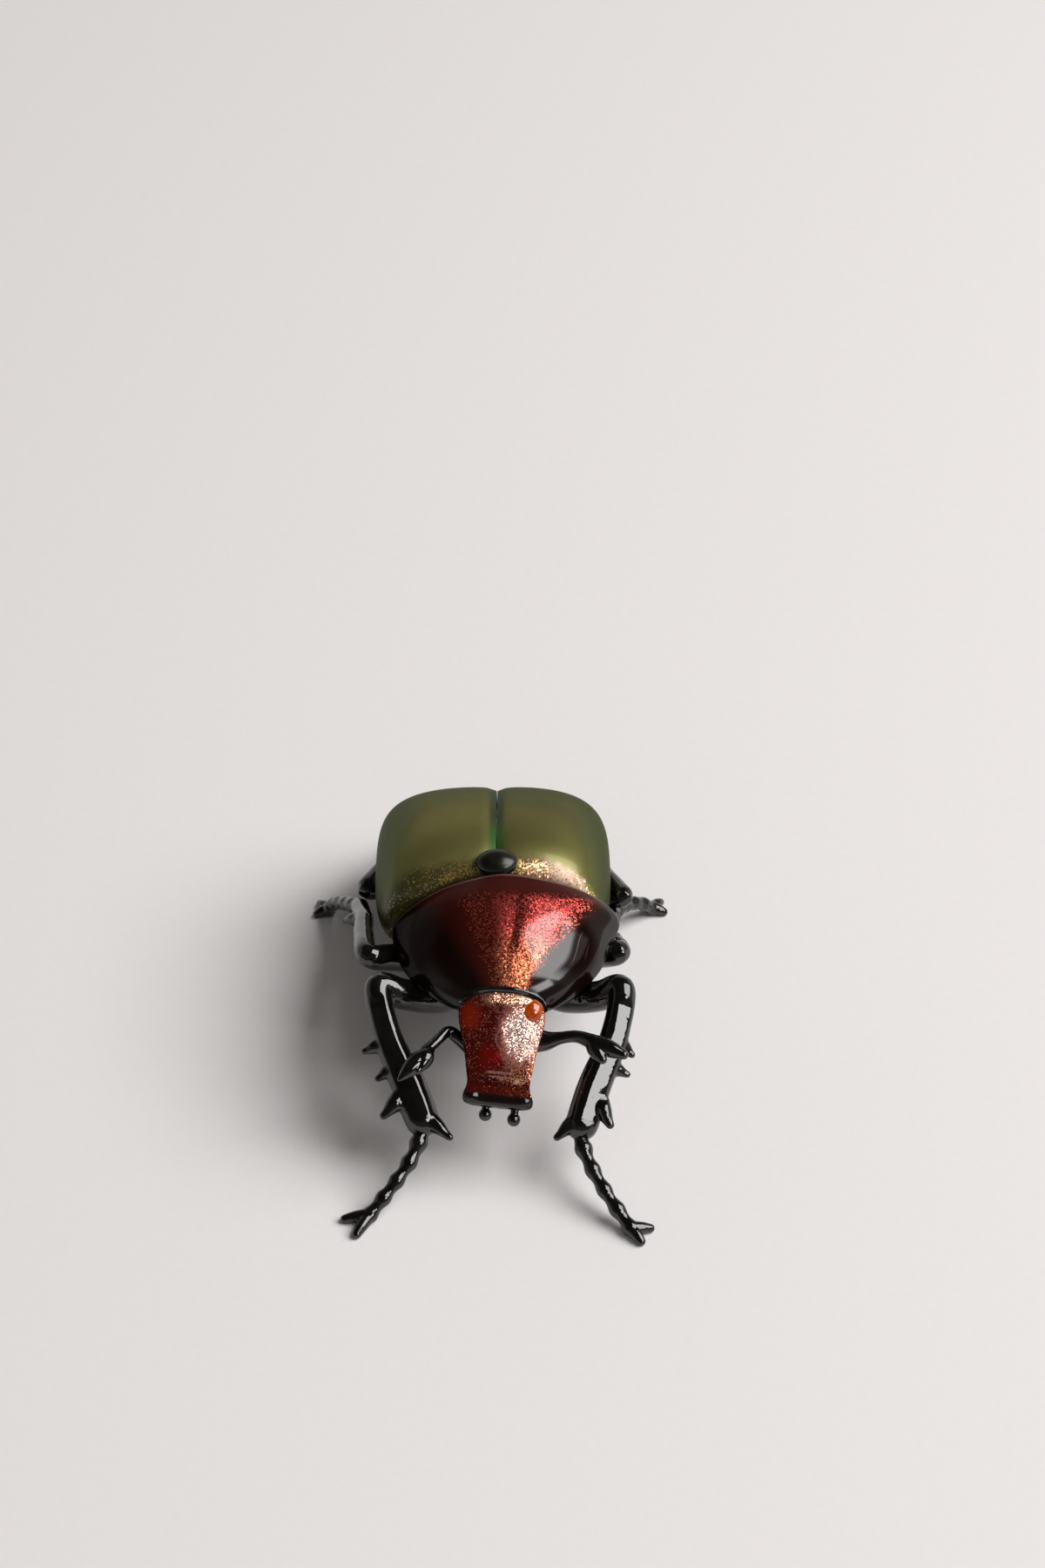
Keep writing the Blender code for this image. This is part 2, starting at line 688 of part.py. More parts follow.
def main():
    clear_scene()
    holder = bpy.data.objects.new("figure", None)
    holder.location = -CENTRE * MM
    bpy.context.scene.collection.objects.link(holder)
    finishes = {
        "black": glass("black_glass", (0.006, 0.006, 0.007), 0.05),
        "red": glass("copper_red_glass", (0.36, 0.05, 0.03), 0.3, 0.6),
        "green": glass("green_glass", (0.2, 0.24, 0.06), 0.35, 0.6),
        "amber": glass("amber_glass", (0.75, 0.16, 0.02), 0.1),
    }
    face, bead, head_room, shield_room = add_body(finishes, holder)
    add_face(finishes, holder, face, bead, head_room)
    chest_room = chest("chest_room", finishes["black"], holder, GAP)
    body_room = belly("body_room", finishes["black"], holder, GAP, ELYTRA_FRONT - 0.2)
    floor = floor_cutter(finishes, holder)
    for name in FEMORA:
        add_leg(name, finishes, holder, (chest_room, body_room, shield_room), floor)


main()
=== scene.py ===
import math

import bmesh
import bpy
from mathutils import Matrix, Vector


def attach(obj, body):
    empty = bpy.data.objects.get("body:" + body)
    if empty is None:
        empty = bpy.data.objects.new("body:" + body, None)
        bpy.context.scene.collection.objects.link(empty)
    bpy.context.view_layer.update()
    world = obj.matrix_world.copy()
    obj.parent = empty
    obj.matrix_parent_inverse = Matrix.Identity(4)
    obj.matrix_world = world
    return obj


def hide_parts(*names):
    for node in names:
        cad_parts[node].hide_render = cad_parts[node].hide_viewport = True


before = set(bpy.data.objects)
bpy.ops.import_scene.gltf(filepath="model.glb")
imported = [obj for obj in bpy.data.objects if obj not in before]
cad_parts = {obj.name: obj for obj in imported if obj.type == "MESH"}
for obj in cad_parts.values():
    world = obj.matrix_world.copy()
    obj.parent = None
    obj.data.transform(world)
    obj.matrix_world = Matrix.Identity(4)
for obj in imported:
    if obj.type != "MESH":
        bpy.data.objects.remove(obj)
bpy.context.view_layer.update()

# places below are in millimetres, in the same frame as the CAD's values: X to the beetle's left,
# Y to its rear, Z up; left and right are the beetle's own
mm = 0.001
middle = Vector((-0.997, 34.274, 0.0))
scene = bpy.context.scene


def toFrame(point):
    return (Vector(point) - middle) * mm


def powerOf(value, power):
    return math.copysign(abs(value) ** (2 / power), value)


def bell(value, centre, width):
    return math.exp(-(((value - centre) / width) ** 2))


# the slight unevenness of a shape made by hand
def handWave(point, length, depth):
    x, y, z = (2 * math.pi * part / length for part in point)
    return depth * math.sin(x + 0.8 * math.sin(y)) * math.sin(y + 0.7 * math.sin(z + x))


# rows of numbers along a smooth curve through the given ones
def smoothRows(rows, count):
    values = [Vector(row) for row in rows]
    values = [2 * values[0] - values[1], *values, 2 * values[-1] - values[-2]]
    spans = len(rows) - 1
    out = []
    for k in range(count + 1):
        along = min(k * spans / count, spans - 1e-6)
        t = along - int(along)
        a, b, c, d = values[int(along) : int(along) + 4]
        out.append(
            0.5 * (
                2 * b + (c - a) * t + (2 * a - 5 * b + 4 * c - d) * t**2 + (3 * b - a - 3 * c + d) * t**3
            )
        )
    return out


def loft(rings, start=None, end=None):
    count = len(rings[0])
    points = [point for ring in rings for point in ring]
    faces = []
    for row in range(len(rings) - 1):
        for k in range(count):
            a, b = row * count + k, row * count + (k + 1) % count
            faces.append((a, b, b + count, a + count))
    for tip, first in ((start, 0), (end, (len(rings) - 1) * count)):
        if tip is None:
            faces.append(tuple(range(first, first + count)))
            continue
        points.append(tip)
        faces += [(first + k, first + (k + 1) % count, len(points) - 1) for k in range(count)]
    return points, faces


meshTidy = {"weld": 0.004, "sliver": 0.002}  # millimetres


# welds, turns the faces outwards and shades smooth
def finishMesh(mesh, material, sharp=38):
    work = bmesh.new()
    work.from_mesh(mesh)
    bmesh.ops.remove_doubles(work, verts=work.verts, dist=meshTidy["weld"] * mm)
    bmesh.ops.dissolve_degenerate(work, edges=work.edges, dist=meshTidy["sliver"] * mm)
    bmesh.ops.recalc_face_normals(work, faces=work.faces)
    work.to_mesh(mesh)
    work.free()
    mesh.shade_smooth()
    if sharp:
        mesh.set_sharp_from_angle(angle=math.radians(sharp))
    mesh.materials.clear()
    mesh.materials.append(material)


def addPiece(name, mesh, nodes):
    piece = bpy.data.objects.new(name, mesh)
    scene.collection.objects.link(piece)
    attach(piece, "root")
    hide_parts(*nodes)
    return piece


def solidPiece(name, points, faces, material, nodes, sharp=38):
    mesh = bpy.data.meshes.new(name)
    mesh.from_pydata([toFrame(point) for point in points], [], faces)
    finishMesh(mesh, material, sharp)
    return addPiece(name, mesh, nodes)


def newGroup(name, inputs, outputs):
    group = bpy.data.node_groups.new(name, "ShaderNodeTree")
    for label, kind, value in inputs:
        socket = group.interface.new_socket(label, in_out="INPUT", socket_type=kind)
        if value is not None:
            socket.default_value = value
    for label, kind in outputs:
        group.interface.new_socket(label, in_out="OUTPUT", socket_type=kind)
    return group, group.nodes.new("NodeGroupInput"), group.nodes.new("NodeGroupOutput")


# short ways to add and join shader nodes
class Wires:
    def __init__(self, tree):
        self.tree = tree

    def put(self, kind, **settings):
        node = self.tree.nodes.new(kind)
        for key, value in settings.items():
            setattr(node, key, value)
        return node

    def feed(self, socket, value):
        if isinstance(value, bpy.types.NodeSocket):
            self.tree.links.new(value, socket)
        else:
            socket.default_value = (*value, 1.0) if socket.type == "RGBA" else value

    def math(self, operation, a, b=None, c=None):
        node = self.put("ShaderNodeMath", operation=operation)
        for socket, value in zip(node.inputs, (a, b, c)):
            if value is not None:
                self.feed(socket, value)
        return node.outputs[0]

    def times(self, a, b):
        return self.math("MULTIPLY", a, b)

    def most(self, a, *others):
        for other in others:
            a = self.math("MAXIMUM", a, other)
        return a

    def plus(self, a, b):
        return self.math("ADD", a, b)

    def minus(self, a, b):
        return self.math("SUBTRACT", a, b)

    def line(self, value, slope, start):
        return self.math("MULTIPLY_ADD", value, slope, start)

    def size(self, value):
        return self.math("ABSOLUTE", value)

    def vector(self, operation, a, b=None, scale=None):
        node = self.put("ShaderNodeVectorMath", operation=operation)
        self.feed(node.inputs[0], a)
        if b is not None:
            self.feed(node.inputs[1], b)
        if scale is not None:
            self.feed(node.inputs["Scale"], scale)
        return node.outputs["Value" if operation in ("LENGTH", "DOT_PRODUCT") else "Vector"]

    # a smooth step of value from low to high
    def step(self, value, low, high, toLow=0.0, toHigh=1.0):
        node = self.put("ShaderNodeMapRange", interpolation_type="SMOOTHSTEP", clamp=True)
        values = {"Value": value, "From Min": low, "From Max": high, "To Min": toLow, "To Max": toHigh}
        for label, number in values.items():
            self.feed(node.inputs[label], number)
        return node.outputs["Result"]

    # 1 between b and c, and 0 outside a and d
    def between(self, value, a, b, c, d):
        return self.times(self.step(value, a, b), self.step(value, d, c))

    def axes(self, vector):
        node = self.put("ShaderNodeSeparateXYZ")
        self.feed(node.inputs[0], vector)
        return node.outputs

    def split(self, colour):
        node = self.put("ShaderNodeSeparateColor")
        self.feed(node.inputs[0], colour)
        return node.outputs

    def facing(self, blend):
        node = self.put("ShaderNodeLayerWeight")
        node.inputs["Blend"].default_value = blend
        return node.outputs["Facing"]

    def noise(self, vector, scale, detail=2.0, rough=0.5):
        node = self.put("ShaderNodeTexNoise", noise_dimensions="3D")
        values = {"Vector": vector, "Scale": scale, "Detail": detail, "Roughness": rough}
        for label, number in values.items():
            self.feed(node.inputs[label], number)
        return node.outputs["Fac"]

    def cells(self, vector, scale):
        node = self.put("ShaderNodeTexVoronoi", voronoi_dimensions="3D", feature="F1")
        self.feed(node.inputs["Vector"], vector)
        self.feed(node.inputs["Scale"], scale)
        return node

    def blend(self, factor, a, b, mode="MIX"):
        node = self.put("ShaderNodeMix", data_type="RGBA", blend_type=mode)
        self.feed(node.inputs["Factor"], factor)
        self.feed(node.inputs[6], a)
        self.feed(node.inputs[7], b)
        return node.outputs[2]


# the point on the piece in the same millimetres as the shapes
def placeInMm(wires):
    texture = wires.put("ShaderNodeTexCoord")
    scaled = wires.vector("SCALE", texture.outputs["Object"], scale=1000.0)
    return wires.vector("ADD", scaled, tuple(middle))


# metal flakes in glass: each flake has its own tilt, tint and chance of being there
def flakeGroup():
    group, given, result = newGroup(
        "glass flakes",
        (
            ("Place", "NodeSocketVector", None),
            ("Per mm", "NodeSocketFloat", 6.0),
            ("Cover", "NodeSocketFloat", 0.5),
            ("Tilt", "NodeSocketFloat", 0.5),
        ),
        (("Flake", "NodeSocketFloat"), ("Chance", "NodeSocketFloat"), ("Normal", "NodeSocketVector")),
    )
    wires = Wires(group)
    warp = wires.put("ShaderNodeTexNoise", noise_dimensions="3D")
    wires.feed(warp.inputs["Vector"], given.outputs["Place"])
    warp.inputs["Scale"].default_value = 3.0
    shift = wires.vector("SCALE", warp.outputs["Color"], scale=0.25)
    bent = wires.vector("ADD", given.outputs["Place"], shift)
    cells = wires.cells(bent, given.outputs["Per mm"])
    chance, _, tint = wires.split(cells.outputs["Color"])
    flake = wires.step(wires.minus(given.outputs["Cover"], chance), 0.0, 0.07)
    lean = wires.vector("SUBTRACT", cells.outputs["Color"], (0.5, 0.5, 0.5))
    lean = wires.vector("SCALE", lean, scale=wires.times(given.outputs["Tilt"], flake))
    geometry = wires.put("ShaderNodeNewGeometry")
    normal = wires.vector("NORMALIZE", wires.vector("ADD", geometry.outputs["Normal"], lean))
    wires.feed(result.inputs["Flake"], flake)
    wires.feed(result.inputs["Chance"], tint)
    wires.feed(result.inputs["Normal"], normal)
    return group


# low waves and a few pits left by the torch, as a bump height
def wavesGroup():
    group, given, result = newGroup(
        "torch waves",
        (
            ("Place", "NodeSocketVector", None), ("Wave", "NodeSocketFloat", 1.0),
            ("Pits", "NodeSocketFloat", 1.0),
        ),
        (("Height", "NodeSocketFloat"), ("Dust", "NodeSocketFloat")),
    )
    wires = Wires(group)
    broad = wires.noise(given.outputs["Place"], 0.35, 1.0)
    fine = wires.noise(given.outputs["Place"], 1.3, 2.0)
    low = wires.times(wires.line(fine, 0.16, broad), given.outputs["Wave"])
    cells = wires.cells(given.outputs["Place"], 1.1)
    chance = wires.split(cells.outputs["Color"])["Green"]
    pit = wires.times(wires.step(cells.outputs["Distance"], 0.07, 0.02), wires.step(chance, 0.86, 0.9))
    pit = wires.times(pit, given.outputs["Pits"])
    wires.feed(result.inputs["Height"], wires.minus(low, wires.times(pit, 0.06)))
    specks = wires.step(wires.noise(given.outputs["Place"], 6.0, 3.0, 0.7), 0.66, 0.78)
    wires.feed(result.inputs["Dust"], specks)
    return group


groups = {"flakes": flakeGroup(), "waves": wavesGroup()}
flakeMetal = 0.96


def newMaterial(name):
    material = bpy.data.materials.new(name)
    material.use_nodes = True
    wires = Wires(material.node_tree)
    shader = material.node_tree.nodes["Principled BSDF"]
    return material, wires, shader


def useGroup(wires, key, **values):
    node = wires.put("ShaderNodeGroup", node_tree=groups[key])
    for label, value in values.items():
        wires.feed(node.inputs[label.replace("_", " ")], value)
    return node


def bump(wires, height, strength, distance):
    node = wires.put("ShaderNodeBump")
    node.inputs["Strength"].default_value = strength
    node.inputs["Distance"].default_value = distance * mm
    wires.feed(node.inputs["Height"], height)
    return node.outputs["Normal"]


def coat(shader, rough, weight=1.0):
    shader.inputs["Coat Weight"].default_value = weight
    shader.inputs["Coat Roughness"].default_value = rough
    shader.inputs["Coat IOR"].default_value = 1.5


blackLook = {
    "colour": (0.0022, 0.0019, 0.0018), "roughness": 0.03, "bend": 1.66,
    "wave": 1.0, "strength": 0.22, "depth": 0.45, "dust": 0.05, "smoke": 3.2,
}
dullLook = dict(blackLook, colour=(0.004, 0.004, 0.0025), roughness=0.27, bend=1.45, dust=0.15)


def blackGlass(name, look):
    material, wires, shader = newMaterial(name)
    place = placeInMm(wires)
    waves = useGroup(wires, "waves", Place=place, Wave=look["wave"], Pits=1.0)
    smoke = wires.step(wires.noise(place, 0.5, 3.0), 0.35, 0.75)
    paler = [look["smoke"] * part for part in look["colour"]]
    colour = wires.blend(smoke, look["colour"], paler)
    wires.feed(shader.inputs["Base Color"], colour)
    rough = wires.line(waves.outputs["Dust"], look["dust"], look["roughness"])
    wires.feed(shader.inputs["Roughness"], rough)
    normal = bump(wires, waves.outputs["Height"], look["strength"], look["depth"])
    wires.feed(shader.inputs["Normal"], normal)
    shader.inputs["IOR"].default_value = look["bend"]
    return material


shieldLook = {
    "middle": 0.9,
    "neck": 21.2,
    "start": 3.7,
    "fan": 0.61,
    "perMm": 7.5,
    "tilt": 0.60,
    "roughness": 0.38,
    "dark": (0.0060, 0.0020, 0.0014),
    "maroon": (0.033, 0.0040, 0.0022),
    "lip": (0.046, 0.008, 0.006),
    # the pale colour of the painted rim highlight and of the swirl's painted reflection arcs
    "rim": (0.20, 0.13, 0.12),
    "copper": (0.72, 0.165, 0.08),
    "rose": (0.64, 0.074, 0.070),
    "gold": (0.98, 0.42, 0.20),
    "unlitFlakeRed": (0.82, 0.13, 0.07),
    "edges": (-1.05, -0.55, 0.92, 1.12),  # the fan's sides, in its half widths
    "leftStreak": (0.18, 0.34, 0.72, 1.10),
    "rightStreak": (-0.24, -0.06, 0.12, 0.22),
    "sparse": (-0.66, -0.30, 0.30),
    "lipBand": (32.2, 34.0),  # millimetres from the head, as are the next two
    "glowEnd": (33.6, 34.9),
    "paintedRimHighlight": (34.45, 34.62, 34.78, 34.95),
    "swirl": (8.4, 26.1, 21.4),
    "swirlAcross": (0.80, -0.35, -0.49),
    "swirlAlong": (0.45, 0.78, 0.43),
    "swirlSize": (5.4, 3.0),
    "coatRough": 0.13,
}


# copper-red aventurine that fans out from the neck, in black glass
def shieldGlass(name, look):
    material, wires, shader = newMaterial(name)
    place = placeInMm(wires)
    placeX, placeY, placeZ = wires.axes(place)
    x = wires.minus(placeX, look["middle"])
    y = wires.minus(placeY, look["neck"])
    # signed is 0 on the middle line and 1 or -1 at the edges of the fan
    width = wires.line(y, look["fan"], look["start"])
    signed = wires.math("DIVIDE", x, wires.most(width, 0.5))
    rough = wires.line(wires.noise(place, 0.9, 3.0, 0.6), 0.30, -0.15)
    loose = wires.plus(signed, wires.times(rough, 0.6))
    fan = wires.between(loose, *look["edges"])
    # streaks run from the neck to the rear, a dark one between two bright ones; they are partly real flakes
    # and partly a painted highlight where the lamp's reflection falls
    along = wires.put("ShaderNodeCombineXYZ")
    wires.feed(along.inputs["X"], wires.times(signed, 3.2))
    wires.feed(along.inputs["Y"], wires.times(y, 0.10))
    wires.feed(along.inputs["Z"], 0.3)
    streak = wires.step(wires.noise(along.outputs[0], 1.4, 3.0, 0.6), 0.3, 0.7)
    left = wires.between(loose, *look["leftStreak"])
    right = wires.between(loose, *look["rightStreak"])
    right = wires.times(right, wires.step(y, 12.5, 5.0, 0.60, 1.0))
    neck = wires.times(wires.step(y, 6.0, 2.0), wires.between(loose, -0.36, -0.14, 0.75, 1.0))
    lit = wires.times(wires.most(left, right, neck), wires.line(streak, 0.3, 0.7))
    # fewer flakes on the side away from the lamp: painted shade
    low, high, share = look["sparse"]
    sparse = wires.times(wires.step(loose, low, high, 0.0, share), wires.step(loose, 1.0, 0.86))
    cover = wires.most(wires.times(lit, 0.96), sparse)
    # the rear lip and the lower sides have no flakes
    sag = wires.line(wires.times(x, x), 0.016, -1.4)
    lip = wires.step(wires.plus(wires.minus(placeY, sag), wires.times(rough, 2.4)), *look["lipBand"])
    cover = wires.times(cover, wires.times(fan, wires.minus(1.0, lip)))
    # the flakes lie flatter towards the rear
    tilt = wires.step(placeY, 23.0, 29.0, look["tilt"], look["tilt"] * 0.6)
    flakes = useGroup(wires, "flakes", Place=place, Per_mm=look["perMm"], Cover=cover, Tilt=tilt)
    base = wires.blend(fan, look["dark"], look["maroon"])
    # painted glow: the upper part of the rear lip is painted a lighter red, as light shining through the
    # clear glass
    paintedGlow = wires.times(lip, wires.step(placeZ, 17.5, 22.5))
    paintedGlow = wires.times(paintedGlow, wires.step(placeY, *look["glowEnd"], 1.0, 0.35))
    base = wires.blend(paintedGlow, base, look["lip"])
    # painted highlight: a pale line along the rear edge, standing for the rolled lip's reflection
    rim = wires.between(placeY, *look["paintedRimHighlight"])
    base = wires.blend(wires.times(rim, 0.45), base, look["rim"])
    tint = wires.blend(wires.step(placeY, 22.5, 27.5), look["copper"], look["rose"])
    chosen = wires.step(flakes.outputs["Chance"], 0.55, 0.85)
    gold = wires.times(chosen, wires.step(placeY, 26.5, 22.0, 0.08, 0.8))
    tint = wires.blend(gold, tint, look["gold"])
    # flakes outside the painted highlight take a duller red, as painted shade
    tint = wires.blend(wires.line(lit, 0.6, 0.4), look["unlitFlakeRed"], tint)
    colour = wires.blend(flakes.outputs["Flake"], base, tint)
    wires.feed(shader.inputs["Metallic"], wires.times(flakes.outputs["Flake"], flakeMetal))
    shader.inputs["Roughness"].default_value = look["roughness"]
    shader.inputs["Specular IOR Level"].default_value = 0.0
    wires.feed(shader.inputs["Normal"], flakes.outputs["Normal"])
    # a swirl where the torch turned the glass, low on the left side; its pale arcs are a painted reflection
    # of the lamp
    local = wires.vector("SUBTRACT", place, look["swirl"])
    across = wires.vector("DOT_PRODUCT", local, look["swirlAcross"])
    lengthways = wires.vector("DOT_PRODUCT", local, look["swirlAlong"])
    away = wires.vector("LENGTH", local)
    bent = wires.line(wires.math("SINE", wires.times(lengthways, 0.7)), 0.45, across)
    fold = wires.step(wires.size(wires.plus(bent, 1.5)), 1.1, 0.1)
    fold = wires.times(fold, wires.step(lengthways, -2.5, 1.0))
    core = wires.step(bent, 0.1, 0.9)
    # the right side is duller than the swirl and the neck
    dull = wires.times(wires.step(x, -2.5, -6.5, 0.15, 0.88), wires.step(placeY, 21.5, 25.5, 0.35, 1.0))
    clear = wires.times(wires.most(wires.times(fold, 0.6), core), wires.step(away, *look["swirlSize"]))
    paintedReflectionArcs = wires.step(wires.size(wires.math("SINE", wires.times(bent, 2.4))), 0.24, 0.04)
    paintedReflectionArcs = wires.times(wires.times(paintedReflectionArcs, core), wires.step(away, 3.2, 2.0))
    wires.feed(shader.inputs["Base Color"], wires.blend(wires.times(paintedReflectionArcs, 0.5), colour, look["rim"]))
    coat(shader, look["coatRough"])
    # less sheen where the sides turn away, but a pale line at the very edge
    turned = wires.between(wires.facing(0.5), 0.40, 0.72, 0.90, 0.96)
    turned = wires.times(turned, wires.step(x, -4.0, -8.0, 0.45, 0.78))
    gloss = wires.line(wires.most(clear, dull), -0.92, 1.0)
    wires.feed(shader.inputs["Coat Weight"], wires.times(gloss, wires.minus(1.0, turned)))
    return material


headLook = {
    "perMm": 10.5,
    "tilt": 0.66,
    "roughness": 0.30,
    "maroon": (0.045, 0.0036, 0.0024),
    "copper": (0.80, 0.24, 0.14),
    "rose": (0.90, 0.30, 0.26),
    "highlightBlush": (0.90, 0.26, 0.20),
    "pale": (1.0, 0.76, 0.72),
    "gold": (1.0, 0.62, 0.36),
    "window": (0.15, 0.004, 0.006),
    "flush": (0.14, 0.010, 0.003),
    "lip": (0.006, 0.003, 0.0025),
    "toolRingAndRidgeGlints": (0.62, 0.36, 0.34),
    # ovals on the face: place across and its half width, place down and its half length, soft edge
    "paintedHighlightAt": (2.2, 1.9, 4.0, 2.9, 0.60),
    "clearAt": (-1.2, 1.35, 6.9, 1.35, 0.55),
    "spotAt": (-0.45, 0.55, 6.8, 0.5, 0.5),
    "flushAt": (-3.9, 1.3, 2.4, 1.5, 0.6),
    "goldAt": (2.3, 0.8, 9.5, 0.35, 0.6),
    "ridgeGlints": ((8.6, 0.22, -1.3), (9.1, 0.14, -1.1)),  # place down, half thickness, right end
    "ridgeGlintsEnd": 1.4,
    "mouth": 11.15,
    "ring": (0.8, 4.7, 1.4),
    "coatRough": 0.06,
}


# rose-copper aventurine with a clear red window and a black lip; the pale left of
# the face is a painted highlight, and its darker right is painted shade
def headGlass(name, look, skew):
    material, wires, shader = newMaterial(name)
    place = placeInMm(wires)
    fromTop = wires.vector("SUBTRACT", place, tuple(onHead(0, 0, 0)))
    straight = wires.vector("DOT_PRODUCT", fromTop, tuple(headTurn @ Vector((0, 1, 0))))
    left = wires.vector("DOT_PRODUCT", fromTop, tuple(headTurn @ Vector((1, 0, 0))))
    slant = wires.times(wires.times(left, straight), skew / 12.5)
    down = wires.minus(straight, slant)
    cloud = wires.line(wires.noise(place, 0.8, 3.0, 0.6), 2.0, -1.0)

    def reachOf(acrossAt, acrossSize, downAt, downSize):
        a = wires.math("DIVIDE", wires.minus(left, acrossAt), acrossSize)
        b = wires.math("DIVIDE", wires.minus(down, downAt), downSize)
        return wires.math("SQRT", wires.plus(wires.times(a, a), wires.times(b, b)))

    def oval(acrossAt, acrossSize, downAt, downSize, spread):
        reach = wires.line(cloud, 0.40, reachOf(acrossAt, acrossSize, downAt, downSize))
        return wires.step(reach, 1.0 + spread, 1.0 - spread)

    def band(centre, width, start, end):
        across = wires.between(left, start - 0.5, start + 0.4, end - 0.4, end + 0.5)
        return wires.times(wires.step(wires.size(wires.minus(down, centre)), width, width * 0.3), across)

    places = ("paintedHighlightAt", "clearAt", "spotAt", "flushAt", "goldAt")
    paintedHighlight, clear, spot, flush, gold = (oval(*look[key]) for key in places)
    top = wires.times(wires.step(wires.line(cloud, 0.5, down), 1.5, 0.3), wires.step(left, -3.4, -1.4))
    # more flakes in the painted highlight and on the side towards the lamp
    beside = wires.step(wires.line(cloud, 0.6, left), -1.2, 1.6)
    bright = wires.most(wires.step(paintedHighlight, 0.0, 0.6), wires.times(beside, 0.55), wires.times(top, 0.85))
    below = wires.step(wires.line(cloud, 0.4, down), 9.0, 10.0)
    lip = wires.step(wires.line(cloud, 0.10, down), look["mouth"] - 0.3, look["mouth"] + 0.2)
    cover = wires.line(bright, 0.88, 0.12)
    cover = wires.times(cover, wires.line(below, -0.62, 1.0))
    cover = wires.most(cover, wires.times(gold, 0.75))
    shut = wires.most(wires.times(clear, 0.75), wires.times(flush, 0.7), lip)
    cover = wires.times(cover, wires.minus(1.0, shut))
    flakes = useGroup(wires, "flakes", Place=place, Per_mm=look["perMm"], Cover=cover, Tilt=look["tilt"])
    pane = wires.most(wires.times(clear, 0.45), spot)
    base = wires.blend(pane, look["maroon"], look["window"])
    base = wires.blend(flush, base, look["flush"])
    # painted highlight: a pale blush and pale flake tint where the lamp's reflection falls
    base = wires.blend(wires.times(paintedHighlight, 0.7), base, look["highlightBlush"])
    # a faint ring left by a tool, and two pale streaks painted as the reflection of the ridges above the
    # lip
    across, along, radius = look["ring"]
    ring = wires.step(wires.size(wires.minus(reachOf(across, 1.0, along, 1.0), radius)), 0.14, 0.03)
    ridgeGlints = wires.most(*(band(*line, look["ridgeGlintsEnd"]) for line in look["ridgeGlints"]))
    toolRingAndRidgeGlints = wires.most(wires.times(ring, 0.16), wires.times(ridgeGlints, 0.28))
    base = wires.blend(lip, base, look["lip"])
    tint = wires.blend(wires.step(down, 8.5, 5.0), look["copper"], look["rose"])
    tint = wires.blend(paintedHighlight, tint, look["pale"])
    warm = wires.times(wires.step(flakes.outputs["Chance"], 0.6, 0.9), 0.8)
    warm = wires.most(warm, gold, wires.times(top, 0.6))
    tint = wires.blend(warm, tint, look["gold"])
    colour = wires.blend(flakes.outputs["Flake"], base, tint)
    wires.feed(shader.inputs["Base Color"], wires.blend(toolRingAndRidgeGlints, colour, look["toolRingAndRidgeGlints"]))
    wires.feed(shader.inputs["Metallic"], wires.times(flakes.outputs["Flake"], flakeMetal))
    shader.inputs["Roughness"].default_value = look["roughness"]
    shader.inputs["Specular IOR Level"].default_value = 0.0
    wires.feed(shader.inputs["Normal"], flakes.outputs["Normal"])
    coat(shader, look["coatRough"])
    wires.feed(shader.inputs["Coat Weight"], wires.line(lip, 0.9, 0.1))
    return material


caseLook = {
    "olive": (0.226, 0.206, 0.068),
    "moss": (0.188, 0.184, 0.062),
    "green": (0.108, 0.122, 0.030),
    "seam": (0.018, 0.050, 0.020),
    "leaf": (0.040, 0.150, 0.035),
    "rim": (0.034, 0.044, 0.006),
    "highlightCream": (0.80, 0.56, 0.44),
    "highlightLime": (0.42, 0.46, 0.08),
    "gold": (0.95, 0.62, 0.20),
    "highlightPink": (1.0, 0.58, 0.42),
    "dark": (0.017, 0.015, 0.0035),
    "leftDim": (0.77, 0.76, 0.77),
    "sheen": (0.34, 0.38, 0.10),
    "coatRough": 0.14,
    "band": 37.2,
    "bandBend": 0.006,
    "seamAt": -0.1,
    "perMm": 7.5,
    "tilt": 0.55,
    "roughness": 0.45,
}


